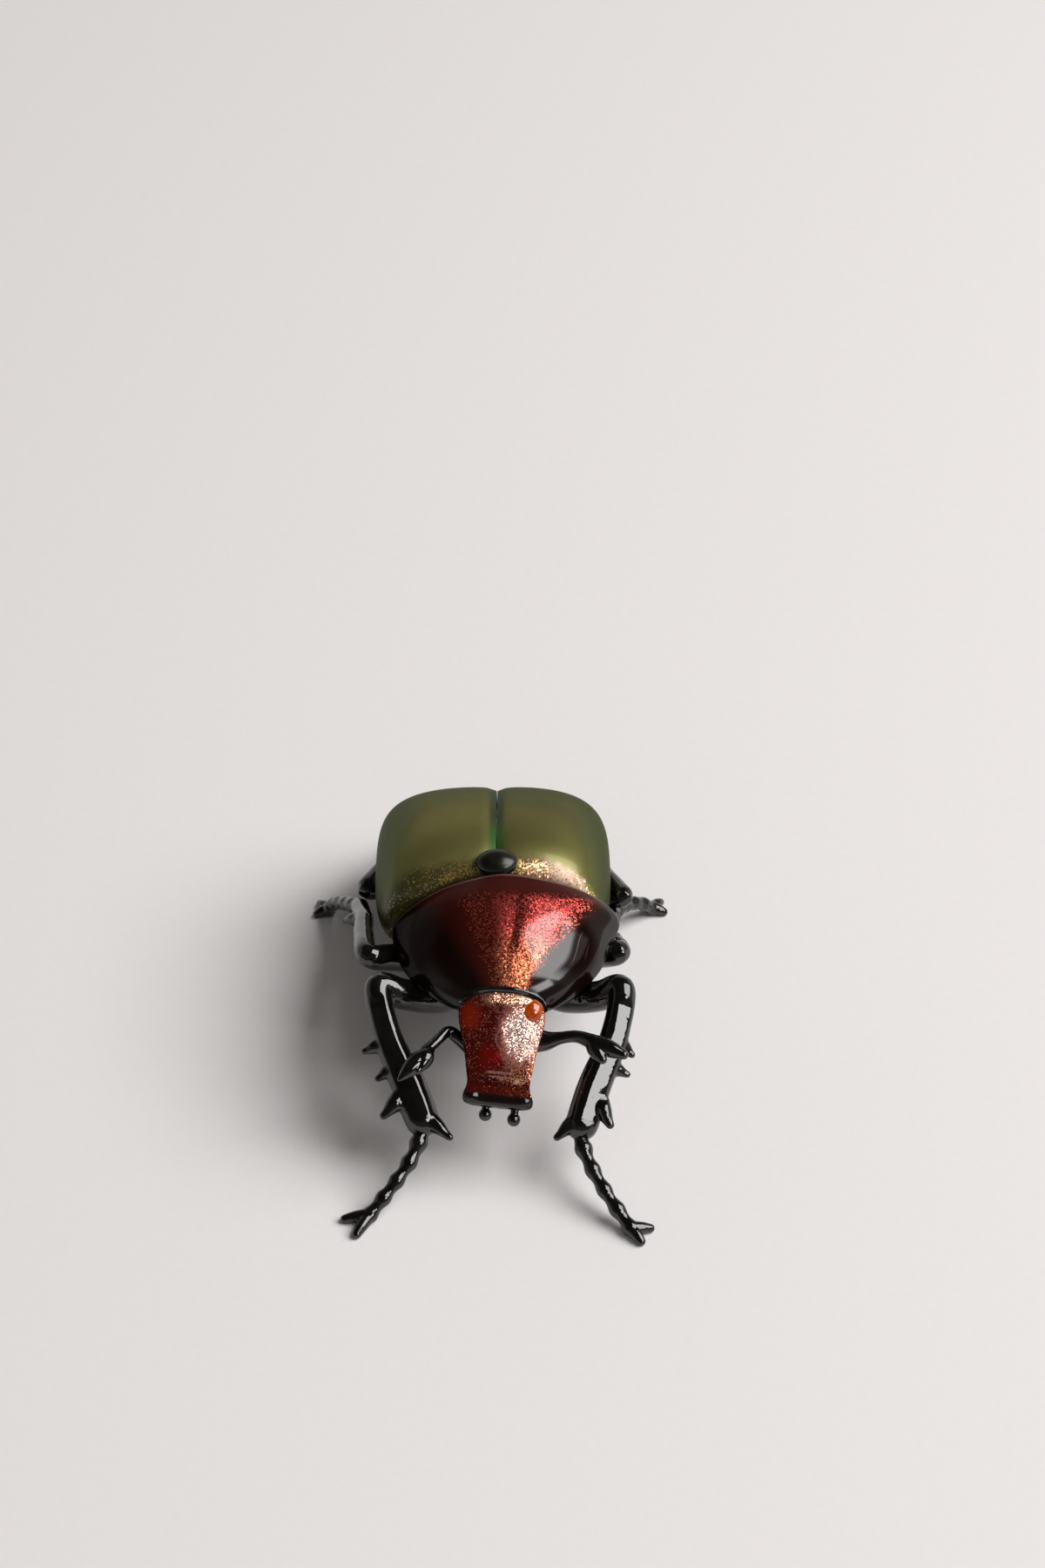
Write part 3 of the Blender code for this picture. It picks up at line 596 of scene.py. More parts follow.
# olive lustre glass with a gold fringe along the front edge
def caseGlass(name, look):
    material, wires, shader = newMaterial(name)
    place = placeInMm(wires)
    x, y, _ = wires.axes(place)
    fromSeam = wires.size(wires.minus(x, look["seamAt"]))
    cloud = wires.noise(place, 0.16, 3.0, 0.55)
    edge = wires.line(wires.noise(place, 0.8, 3.0, 0.6), 2.0, -1.0)
    # the shield's rear edge is an arc, and the gold fringe follows it
    leftX = wires.most(x, 0.0)
    back = wires.line(wires.times(leftX, leftX), look["bandBend"], y)
    front = wires.step(wires.plus(back, edge), look["band"] + 1.0, look["band"] - 0.7)
    side = wires.step(fromSeam, 8.0, 13.4)
    seam = wires.step(wires.line(edge, 0.12, fromSeam), 1.25, 0.45)
    colour = wires.blend(wires.step(cloud, 0.35, 0.65), look["olive"], look["moss"])
    colour = wires.blend(side, colour, look["green"])
    colour = wires.blend(wires.step(x, -5.0, 6.0), colour, look["leftDim"], "MULTIPLY")
    groove = wires.blend(wires.step(y, 46.0, 40.5), look["seam"], look["leaf"])
    colour = wires.blend(wires.times(seam, 0.85), colour, groove)
    # painted shade: the colour darkens towards the edges that turn away from the camera
    rim = wires.step(wires.facing(0.5), 0.40, 0.92)
    colour = wires.blend(wires.times(rim, 0.8), colour, look["rim"])
    # painted shade: the front band, where the case runs under the shield's edge, is darkened; the gold
    # flakes on it are its own
    colour = wires.blend(wires.times(front, 0.8), colour, look["dark"])
    # painted highlight: a cream and lime glaze on the front band's side towards the lamp
    smooth = wires.times(wires.step(x, 5.0, 7.0), front)
    paintedHighlightGlaze = wires.blend(wires.step(wires.plus(x, edge), 10.4, 11.2), look["highlightCream"], look["highlightLime"])
    colour = wires.blend(wires.times(smooth, 0.85), colour, paintedHighlightGlaze)
    # the fringe is sparse and dark on one side, bright and nearly closed on the other; the bright side's
    # closed cover and pink tint are a painted highlight
    cover = wires.times(front, wires.step(x, 0.0, 5.0, 0.30, 0.85))
    cover = wires.times(cover, wires.step(x, 5.5, 7.0, 1.0, 0.25))
    cover = wires.times(cover, wires.step(x, -10.0, -5.0, 0.25, 1.5))
    flakes = useGroup(wires, "flakes", Place=place, Per_mm=look["perMm"], Cover=cover, Tilt=look["tilt"])
    tint = wires.blend(wires.step(x, 1.0, 4.5), look["gold"], look["highlightPink"])
    tint = wires.blend(wires.step(flakes.outputs["Chance"], 0.4, 1.0), tint, look["gold"])
    tint = wires.blend(wires.step(x, -1.0, -6.0, 0.0, 0.55), tint, look["olive"])
    wires.feed(shader.inputs["Base Color"], wires.blend(flakes.outputs["Flake"], colour, tint))
    metal = wires.most(flakes.outputs["Flake"], wires.line(front, -0.6, 0.7))
    wires.feed(shader.inputs["Metallic"], metal)
    shader.inputs["Roughness"].default_value = look["roughness"]
    wires.feed(shader.inputs["Normal"], flakes.outputs["Normal"])
    wires.feed(shader.inputs["Specular Tint"], look["sheen"])
    coat(shader, look["coatRough"])
    wires.feed(shader.inputs["Coat Weight"], wires.line(rim, -0.29, 0.30))
    return material


eyeLook = {
    "orange": (0.50, 0.070, 0.001), "swirlAndEdgeShade": (0.11, 0.008, 0.001), "dark": (0.13, 0.010, 0.002),
    "roughness": 0.04, "paintedGlow": 0.05, "coatRough": 0.02, "coat": 0.6,
}


def eyeGlass(name, look):
    material, wires, shader = newMaterial(name)
    place = placeInMm(wires)
    swirl = wires.step(wires.noise(place, 0.9, 3.0, 0.6), 0.36, 0.62)
    # the eye darkens towards its edges as painted shade, mixed with its own swirls
    rim = wires.most(wires.times(wires.facing(0.35), 0.9), wires.times(swirl, 0.5))
    # the eye on the beetle's right, away from the lamp, is a darker copy of the same amber: painted shade
    body = wires.blend(wires.step(wires.axes(place)["X"], -1.0, 1.0), look["dark"], look["orange"])
    colour = wires.blend(rim, body, look["swirlAndEdgeShade"])
    wires.feed(shader.inputs["Base Color"], colour)
    # painted glow: the colour is also given as a faint emission
    wires.feed(shader.inputs["Emission Color"], colour)
    shader.inputs["Emission Strength"].default_value = look["paintedGlow"]
    shader.inputs["Roughness"].default_value = look["roughness"]
    coat(shader, look["coatRough"], look["coat"])
    return material


shieldShape = {
    "middle": 0.75, "width": 13.2, "front": 19.6, "rear": 35.2, "margin": 16.6,
    "rise": 7.3, "drop": 2.4, "power": (1.88, 2.1), "rearPower": (1.70, 1.66), "sag": 2.0,
    "sagPower": 1.6, "lip": 0.8, "lipDrop": 0.07, "round": 0.7, "roundSwell": 0.35, "flare": 1.09,
    "corner": 33.4, "cornerOut": 0.55, "cornerSize": 1.8, "cornerUp": 0.6, "hand": (8.0, 0.05),
    "around": 160, "along": 80, "roundRows": 8, "lipRows": 10, "sharp": 60,
    "dent": (7.6, 26.8, 22.0), "dentFacing": (0.50, -0.42, 0.75), "dentSize": 3.6, "dentDepth": 0.42,
}


def ringAt(x, y, z, half, rise, drop, power, sides):
    ring = []
    for k in range(sides):
        turn = 2 * math.pi * k / sides
        bend = power if isinstance(power, float) else power[math.sin(turn) > 0]
        height = powerOf(math.cos(turn), bend)
        out = half * powerOf(math.sin(turn), bend)
        ring.append((x + out, y, z + height * (rise if height > 0 else drop)))
    return ring


# flattens the dome a little where the torch and a tool turned the glass
def pressedIn(point, shape):
    centre, facing = Vector(shape["dent"]), Vector(shape["dentFacing"]).normalized()
    away = (point - centre).length / shape["dentSize"]
    side = max(0.0, (shape["middle"] - point.x) / shape["width"])
    back = min(1.0, max(0.0, (point.y - shape["front"]) / (shape["rear"] - shape["front"])))
    down = shape["sag"] * side ** shape["sagPower"] * back - handWave(point, *shape["hand"])
    left = max(0.0, (point.x - shape["middle"]) / shape["width"]) ** 4
    out = shape["cornerOut"] * left * bell(point.y, shape["corner"], shape["cornerSize"])
    dent = facing * shape["dentDepth"] * math.exp(-away * away)
    return point - dent + Vector((out, 0, shape["cornerUp"] * out - down))


# a quarter of an ellipsoid with a rolled lip at the rear and a round edge at the neck
def makeShield(shape, material):
    full = shape["rear"] - shape["lip"]
    reach = full - shape["front"]
    first, rows = shape["roundSwell"], []
    for k in range(shape["roundRows"] + 1):  # the rounded front end under the neck
        turn = math.pi / 2 * k / shape["roundRows"]
        swell = math.sqrt(1 - shape["flare"] ** -2) * (first + (1 - first) * math.sin(turn))
        rows.append((shape["front"] - shape["round"] * math.cos(turn), swell))
    for k in range(1, shape["along"] + 1):
        y = shape["front"] + reach * math.sin(math.pi / 2 * k / shape["along"])
        rows.append((y, math.sqrt(1 - ((full - y) / (reach * shape["flare"])) ** 2)))
    for k in range(1, shape["lipRows"] + 1):  # the rolled rear lip
        turn = math.pi / 2 * k / shape["lipRows"]
        swell = 1 - shape["lipDrop"] * (1 - math.cos(turn)) ** 1.4
        rows.append((full + shape["lip"] * math.sin(turn), swell))
    rings = []
    for y, swell in rows:
        back = max(0.0, (y - shape["front"]) / (shape["rear"] - shape["front"])) ** 2
        power = [a + (b - a) * back for a, b in zip(shape["power"], shape["rearPower"])]
        ring = ringAt(
            shape["middle"], y, shape["margin"], shape["width"] * swell,
            shape["rise"] * swell, shape["drop"] * swell, power, shape["around"],
        )
        rings.append([tuple(pressedIn(Vector(point), shape)) for point in ring])
    points, faces = loft(rings)
    return solidPiece("shield", points, faces, material, ["pronotum"], shape["sharp"])


caseShape = {
    "middle": -0.1, "width": {"left": 13.8, "right": 14.8}, "front": 35.7, "widest": 46.3, "rear": 61.8,
    "crown": 40.0, "top": 24.6, "rimFront": 13.0, "rimRear": 8.5, "power": 2.85, "arch": 1.86,
    "plan": {"left": 3.7, "right": 4.1}, "frontNarrow": 0.1, "roll": 1.9, "rollIn": 0.25, "shell": 1.5,
    "groove": 0.7, "grooveIn": 0.14, "spread": 0.9, "seamGap": 0.05, "edgeDrop": 0.75,
    "along": 72, "arc": 56, "edge": 6, "sharp": 55,
}


def caseSwell(shape, y, side="left"):
    if y < shape["widest"]:
        share = (shape["widest"] - y) / (shape["widest"] - shape["front"])
        return 1 - shape["frontNarrow"] * share**2
    share = min(1, (y - shape["widest"]) / (shape["rear"] - shape["widest"]))
    plan = shape["plan"][side]
    return (1 - share**plan) ** (1 / plan)


def caseCrest(shape, y):
    share = min(1, abs(y - shape["crown"]) / (shape["rear"] - shape["crown"]))
    arch = (1 - share ** shape["arch"]) ** (1 / shape["arch"])
    return shape["rimRear"] + (shape["top"] - shape["rimRear"]) * arch


# one wing case as a shell: outer dome, rounded rim, inner dome
def makeCase(shape, side, sign, material):
    width, gap, skin = shape["width"][side], shape["seamGap"], shape["shell"]
    length = shape["rear"] - shape["front"]
    rings = []
    for k in range(shape["along"] + 1):
        y = shape["front"] + length * math.sin(math.pi / 2 * k / shape["along"])
        share = (y - shape["front"]) / length
        rim = shape["rimFront"] + (shape["rimRear"] - shape["rimFront"]) * share
        roll = math.exp(-share * length) * shape["roll"]
        half = width * caseSwell(shape, y, side) - shape["rollIn"] * roll
        rise = max(caseCrest(shape, y) - roll - rim, 0.0)
        outer, inner = [], []
        for j in range(shape["arc"] + 1):
            turn = math.pi / 2 * j / shape["arc"]
            x = half * powerOf(math.sin(turn), shape["power"])
            groove = math.exp(-x / shape["spread"]) * min(1, rise / 6)
            height = rise * powerOf(math.cos(turn), shape["power"])
            outerZ = rim + height - shape["groove"] * groove
            outer.append((shape["middle"] + sign * max(x, gap), y, outerZ))
            thinX = x * max(half - skin, gap) / max(half, gap)
            thinZ = max(height - skin * min(1, rise / 4) * math.cos(turn) ** 0.5, 0.0) if rise > 0 else 0.0
            innerY = shape["front"] + share * (length - skin)
            innerZ = rim + thinZ - shape["grooveIn"] * groove
            inner.append((shape["middle"] + sign * max(thinX, gap), innerY, innerZ))
        mid = (Vector(outer[-1]) + Vector(inner[-1])) / 2
        spread = (Vector(outer[-1]) - Vector(inner[-1])) / 2
        drop = Vector((0, 0, -shape["edgeDrop"] * min(1, spread.length)))
        edge = []
        for j in range(1, shape["edge"]):  # the melted edge between the two domes
            turn = math.pi * j / shape["edge"]
            edge.append(tuple(mid + spread * math.cos(turn) + drop * math.sin(turn)))
        rings.append(outer + edge + inner[::-1])
    points, faces = loft(rings)
    return solidPiece(
        f"{side}Case", points, faces, material, [f"{side}_elytron"], shape["sharp"]
    )


headShape = {
    "slope": 46.0, "yaw": 3.0, "roll": 4.0, "origin": (0.75, 18.9, 19.2), "skew": 0.06,
    "power": 2.7, "around": 96, "along": 110,
    # rows from the top down: place, half width, height in front, depth behind
    "rows": (
        (-0.65, 1.2, 0.3, 2.6), (-0.45, 2.2, 0.5, 3.6), (-0.1, 3.25, 0.7, 4.3), (0.5, 4.2, 0.85, 4.7),
        (1.4, 4.85, 0.9, 4.9), (2.6, 4.98, 0.85, 4.8), (4.6, 4.55, 0.8, 4.4), (6.8, 4.08, 0.62, 3.7),
        (8.7, 3.78, 0.38, 3.0), (9.8, 3.62, 0.10, 2.5), (10.5, 3.72, 0.20, 2.25), (11.1, 3.95, 0.60, 2.1),
        (11.6, 4.08, 0.84, 2.05), (12.1, 4.02, 0.78, 2.0), (12.45, 3.70, 0.46, 1.75),
        (12.66, 2.9, -0.10, 1.2),
    ),
    # bands across the face: height, place down, width; then bumps: height, down, width, across, width
    "bands": ((0.16, 9.05, 0.28), (-0.16, 10.0, 0.45)),
    "knobs": (0.30, 11.5, 0.75, 3.25, 0.75),
    "dent": (-0.10, 5.2, 1.4, 0.2, 1.6),
    "hand": (4.5, 0.03),
    "neckPower": 2.4, "neckAround": 80, "neckAlong": 30,
    "neckRows": (
        (-1.35, 1.0, 0.35, 3.0), (-1.2, 2.1, 0.58, 4.0), (-0.9, 3.2, 0.58, 4.6),
        (-0.4, 4.2, 0.25, 4.9), (0.3, 4.95, 0.1, 4.9), (1.0, 5.05, -0.2, 4.6),
    ),
}


def headFrame(shape):
    slope = math.radians(shape["slope"])
    down = Vector((0, -math.cos(slope), -math.sin(slope)))
    out = Vector((0, -math.sin(slope), math.cos(slope)))
    turn = Matrix((Vector((1, 0, 0)), down, out)).transposed()
    yaw = Matrix.Rotation(math.radians(-shape["yaw"]), 3, out)
    roll = Matrix.Rotation(math.radians(-shape["roll"]), 3, down)
    return yaw @ roll @ turn


headTurn = headFrame(headShape)


def onHead(left, down, out):
    return Vector(headShape["origin"]) + headTurn @ Vector((left, down, out))


def faceSkin(shape, rows, along, around, power, relief):
    rings = []
    last = rows[-1][0]
    for down, half, rise, drop in smoothRows(rows, along):
        ring = []
        for k in range(around):
            turn = 2 * math.pi * k / around
            height = powerOf(math.cos(turn), power)
            left = half * powerOf(math.sin(turn), power)
            out = height * (rise if height > 0 else drop)
            if height > 0:
                out += relief(left, down, half)
            ring.append(tuple(onHead(left, down + shape["skew"] * left * max(0.0, down) / last, out)))
        rings.append(ring)
    ends = [tuple(onHead(0, rows[0][0] - 0.1, -1.2)), tuple(onHead(0, last + 0.1, -0.7))]
    return loft(rings, *ends)


# a ridge above the lip, a hollow behind it, knobs at the lip's corners and a dent
def headRelief(left, down, half):
    fade = max(0.0, 1 - (abs(left) / (half + 0.01)) ** 4)
    out = sum(high * bell(down, place, width) for high, place, width in headShape["bands"]) * fade
    for key, across in (("knobs", abs(left)), ("dent", left)):
        high, place, width, acrossAt, acrossWidth = headShape[key]
        out += high * bell(down, place, width) * bell(across, acrossAt, acrossWidth)
    return out + handWave((left, down, 0.0), *headShape["hand"])


def makeHead(shape, material):
    rows, along, around = shape["rows"], shape["along"], shape["around"]
    points, faces = faceSkin(shape, rows, along, around, shape["power"], headRelief)
    return solidPiece("head", points, faces, material, ["head"], 0)


def makeNeck(shape, material):
    rows, along, around = shape["neckRows"], shape["neckAlong"], shape["neckAround"]
    points, faces = faceSkin(shape, rows, along, around, shape["neckPower"], lambda *place: 0.0)
    return solidPiece("neck", points, faces, material, ["neck"], 0)


ballGrid = {"rows": 40, "around": 64}
dropShape = {"place": (0.0, 36.7, 24.0), "radii": (2.5, 1.9, 1.35)}
eyeShape = {"left": (3.36, 1.5, -0.22), "right": (-3.46, 2.1, -0.62), "radii": (1.5, 1.6, 1.25)}


def makeBall(name, centre, radii, material, node, turn=Matrix.Identity(3)):
    rings = []
    for row in range(1, ballGrid["rows"]):
        lift = math.pi * row / ballGrid["rows"]
        ring = []
        for k in range(ballGrid["around"]):
            spin = 2 * math.pi * k / ballGrid["around"]
            local = (math.sin(lift) * math.cos(spin), math.sin(lift) * math.sin(spin), math.cos(lift))
            ring.append(tuple(Vector(centre) + turn @ Vector(a * b for a, b in zip(local, radii))))
        rings.append(ring)
    poles = [tuple(Vector(centre) + turn @ Vector((0, 0, sign * radii[2]))) for sign in (1, -1)]
    points, faces = loft(rings, *poles)
    return solidPiece(name, points, faces, material, [node], 0)


bellyShape = {
    "low": 4.6, "front": 34.7, "gap": 0.1, "narrow": 2.2, "under": 2.2, "least": 0.4, "power": 2.6,
    "fold": 0.012, "foldLength": 3.6, "lowShare": 0.25, "tipDrop": 0.2, "along": 60, "around": 96,
}


def makeBelly(shape, material):
    case = caseShape
    length = case["rear"] - case["front"]
    rear = case["rear"] - case["shell"] - 2 * shape["gap"]
    rings = []
    for k in range(shape["along"]):
        y = shape["front"] + (rear - shape["front"]) * math.sin(math.pi / 2 * k / shape["along"])
        behind = max(0.0, y - case["front"])
        outer = case["front"] + behind * length / (rear - case["front"])
        swell = caseSwell(case, outer)
        rim = case["rimFront"] + (case["rimRear"] - case["rimFront"]) * behind / length
        roll = case["roll"] * math.exp(case["front"] - outer)
        rise = max(caseCrest(case, outer) - shape["under"] - rim - roll, shape["least"])
        drop = (rim - shape["low"]) * (shape["lowShare"] + (1 - shape["lowShare"]) * swell)
        # soft rings round the belly
        fold = 1 + shape["fold"] * math.sin(2 * math.pi * y / shape["foldLength"])
        half = (case["width"]["left"] - shape["narrow"]) * swell * fold
        rings.append(
            ringAt(case["middle"], y, rim, half, rise, drop * fold, shape["power"], shape["around"])
        )
    tip = (case["middle"], rear, case["rimRear"] - shape["tipDrop"])
    points, faces = loft(rings, None, tip)
    return solidPiece("belly", points, faces, material, ["abdomen"])


chestShape = {
    "front": 23.0, "rear": 35.5, "height": 12.4, "rise": 2.3, "low": 8.4, "frontUp": 2.6, "power": 2.3,
    "middle": 0.75, "drift": -0.6, "half": 4.2, "swell": 5.6, "along": 40, "around": 72,
}


def makeChest(shape, material):
    rings = []
    for k in range(shape["along"] + 1):
        share = k / shape["along"]
        full = math.sin(math.pi / 2 * share)
        x = shape["middle"] + shape["drift"] * share
        y = shape["front"] + (shape["rear"] - shape["front"]) * share
        half = shape["half"] + shape["swell"] * full
        drop = shape["height"] - shape["low"] - shape["frontUp"] * (1 - full)
        rings.append(
            ringAt(x, y, shape["height"], half, shape["rise"], drop, shape["power"], shape["around"])
        )
    points, faces = loft(rings)
    return solidPiece("chest", points, faces, material, ["chest"])


rodLook = {
    "step": 0.25, "sides": 28, "ballSides": 20, "ballRings": 12, "voxel": 0.13, "melt": 5,
    "wobble": 0.12, "wobblesPerMetre": 330.0, "extra": 0.02,
}


# edge chains with a thickness become round rods with beads, waves and domed ends
def rodTree():
    tree = bpy.data.node_groups.new("pulled glass rods", "GeometryNodeTree")
    tree.is_modifier = True
    face = tree.interface
    face.new_socket("Geometry", in_out="INPUT", socket_type="NodeSocketGeometry")
    for label, kind in (
        ("Step", "NodeSocketFloat"), ("Sides", "NodeSocketInt"), ("Beads", "NodeSocketFloat"),
        ("Bead swell", "NodeSocketFloat"), ("Wobble", "NodeSocketFloat"), ("Seed", "NodeSocketFloat"),
        ("Glass", "NodeSocketMaterial"),
    ):
        face.new_socket(label, in_out="INPUT", socket_type=kind)
    face.new_socket("Geometry", in_out="OUTPUT", socket_type="NodeSocketGeometry")
    nodes, links = tree.nodes, tree.links
    given, result = nodes.new("NodeGroupInput"), nodes.new("NodeGroupOutput")

    def put(kind, **settings):
        node = nodes.new(kind)
        for key, value in settings.items():
            setattr(node, key, value)
        return node

    def calc(operation, a, b):
        node = put("ShaderNodeMath", operation=operation)
        for socket, value in zip(node.inputs, (a, b)):
            if isinstance(value, bpy.types.NodeSocket):
                links.new(value, socket)
            else:
                socket.default_value = value
        return node.outputs[0]

    curve = put("GeometryNodeMeshToCurve")
    links.new(given.outputs["Geometry"], curve.inputs[0])
    spline = put("GeometryNodeCurveSplineType", spline_type="CATMULL_ROM")
    links.new(curve.outputs[0], spline.inputs[0])
    spaced = put("GeometryNodeResampleCurve", mode="LENGTH")
    links.new(spline.outputs[0], spaced.inputs["Curve"])
    links.new(given.outputs["Step"], spaced.inputs["Length"])
    thick = put("GeometryNodeInputNamedAttribute", data_type="FLOAT")
    thick.inputs["Name"].default_value = "thick"
    beaded = put("GeometryNodeInputNamedAttribute", data_type="FLOAT")
    beaded.inputs["Name"].default_value = "beaded"
    factor = put("GeometryNodeSplineParameter").outputs["Factor"]
    phase = calc("MULTIPLY", calc("MULTIPLY", factor, given.outputs["Beads"]), 2 * math.pi)
    cosine = put("ShaderNodeMath", operation="COSINE")
    links.new(phase, cosine.inputs[0])
    wave = calc("MULTIPLY", cosine.outputs[0], given.outputs["Bead swell"])
    swell = calc("ADD", calc("MULTIPLY", wave, beaded.outputs["Attribute"]), 1.0)
    radius = calc("MULTIPLY", thick.outputs["Attribute"], swell)
    sized = put("GeometryNodeSetCurveRadius")
    links.new(spaced.outputs[0], sized.inputs["Curve"])
    links.new(radius, sized.inputs["Radius"])
    ring = put("GeometryNodeCurvePrimitiveCircle")
    links.new(given.outputs["Sides"], ring.inputs["Resolution"])
    ring.inputs["Radius"].default_value = 1.0
    tube = put("GeometryNodeCurveToMesh")
    links.new(sized.outputs[0], tube.inputs["Curve"])
    links.new(ring.outputs[0], tube.inputs["Profile Curve"])
    width = put("GeometryNodeInputRadius").outputs[0]
    links.new(width, tube.inputs["Scale"])
    tube.inputs["Fill Caps"].default_value = True
    # a ball at each end of each rod
    ends = put("GeometryNodeCurveEndpointSelection")
    ball = put("GeometryNodeMeshUVSphere")
    ball.inputs["Segments"].default_value = rodLook["ballSides"]
    ball.inputs["Rings"].default_value = rodLook["ballRings"]
    ball.inputs["Radius"].default_value = 1.0
    dots = put("GeometryNodeInstanceOnPoints")
    links.new(sized.outputs[0], dots.inputs["Points"])
    links.new(ends.outputs[0], dots.inputs["Selection"])
    links.new(ball.outputs["Mesh"], dots.inputs["Instance"])
    links.new(width, dots.inputs["Scale"])
    joined = put("GeometryNodeJoinGeometry")
    links.new(tube.outputs[0], joined.inputs[0])
    links.new(dots.outputs[0], joined.inputs[0])
    real = put("GeometryNodeRealizeInstances")
    links.new(joined.outputs[0], real.inputs[0])
    # the hand's slight unevenness
    grain = put("ShaderNodeTexNoise", noise_dimensions="4D")
    grain.inputs["Scale"].default_value = rodLook["wobblesPerMetre"]
    grain.inputs["Detail"].default_value = 1.0
    links.new(given.outputs["Seed"], grain.inputs["W"])
    shift = calc("MULTIPLY", calc("SUBTRACT", grain.outputs[0], 0.5), given.outputs["Wobble"])
    along = put("ShaderNodeVectorMath", operation="SCALE")
    links.new(put("GeometryNodeInputNormal").outputs[0], along.inputs[0])
    links.new(shift, along.inputs["Scale"])
    moved = put("GeometryNodeSetPosition")
    links.new(real.outputs[0], moved.inputs[0])
    links.new(along.outputs[0], moved.inputs["Offset"])
    painted = put("GeometryNodeSetMaterial")
    links.new(moved.outputs[0], painted.inputs[0])
    links.new(given.outputs["Glass"], painted.inputs["Material"])
    links.new(painted.outputs[0], result.inputs[0])
    return tree


rods = rodTree()


# chains are lists of place, radius and whether it is beaded; they give one closed mesh, fused and smoothed
def meltedMesh(name, chains, material, look, beads=0.0, seed=1.0, voxel=None, swell=0.0):
    points, edges, thick, beaded = [], [], [], []
    for chain in chains:
        for k, (place, radius, flag) in enumerate(chain):
            if k:
                edges.append((len(points) - 1, len(points)))
            points.append(toFrame(place))
            thick.append((radius + look["extra"]) * mm)
            beaded.append(float(flag))
    mesh = bpy.data.meshes.new(f"{name} chains")
    mesh.from_pydata(points, edges, [])
    mesh.attributes.new("thick", "FLOAT", "POINT").data.foreach_set("value", thick)
    mesh.attributes.new("beaded", "FLOAT", "POINT").data.foreach_set("value", beaded)
    draft = bpy.data.objects.new(f"{name} draft", mesh)
    scene.collection.objects.link(draft)
    step = draft.modifiers.new("rods", "NODES")
    step.node_group = rods
    values = {
        "Step": look["step"] * mm, "Sides": look["sides"], "Beads": beads, "Bead swell": swell,
        "Wobble": look["wobble"] * mm, "Seed": seed, "Glass": material,
    }
    for item in rods.interface.items_tree:
        if item.item_type == "SOCKET" and item.in_out == "INPUT" and item.name in values:
            step[item.identifier] = values[item.name]
    fuse = draft.modifiers.new("fuse", "REMESH")
    fuse.mode = "VOXEL"
    fuse.voxel_size = (voxel or look["voxel"]) * mm
    melt = draft.modifiers.new("melt", "SMOOTH")
    melt.factor = 0.5
    melt.iterations = look["melt"]
    graph = bpy.context.evaluated_depsgraph_get()
    made = bpy.data.meshes.new_from_object(draft.evaluated_get(graph))
    made.name = name
    bpy.data.objects.remove(draft)
    bpy.data.meshes.remove(mesh)
    return made


# the part of a closed mesh on one side of a plane, closed again with a flat cap
def cutMesh(source, name, place, normal, keepInner):
    work = bmesh.new()
    work.from_mesh(source)
    everything = work.verts[:] + work.edges[:] + work.faces[:]
    cut = bmesh.ops.bisect_plane(
        work, geom=everything, plane_co=toFrame(place), plane_no=normal,
        clear_inner=not keepInner, clear_outer=keepInner, dist=1e-7,
    )
    rim = [item for item in cut["geom_cut"] if isinstance(item, bmesh.types.BMEdge) and item.is_boundary]
    bmesh.ops.holes_fill(work, edges=rim, sides=0)
    mesh = bpy.data.meshes.new(name)
    work.to_mesh(mesh)
    work.free()
    return mesh


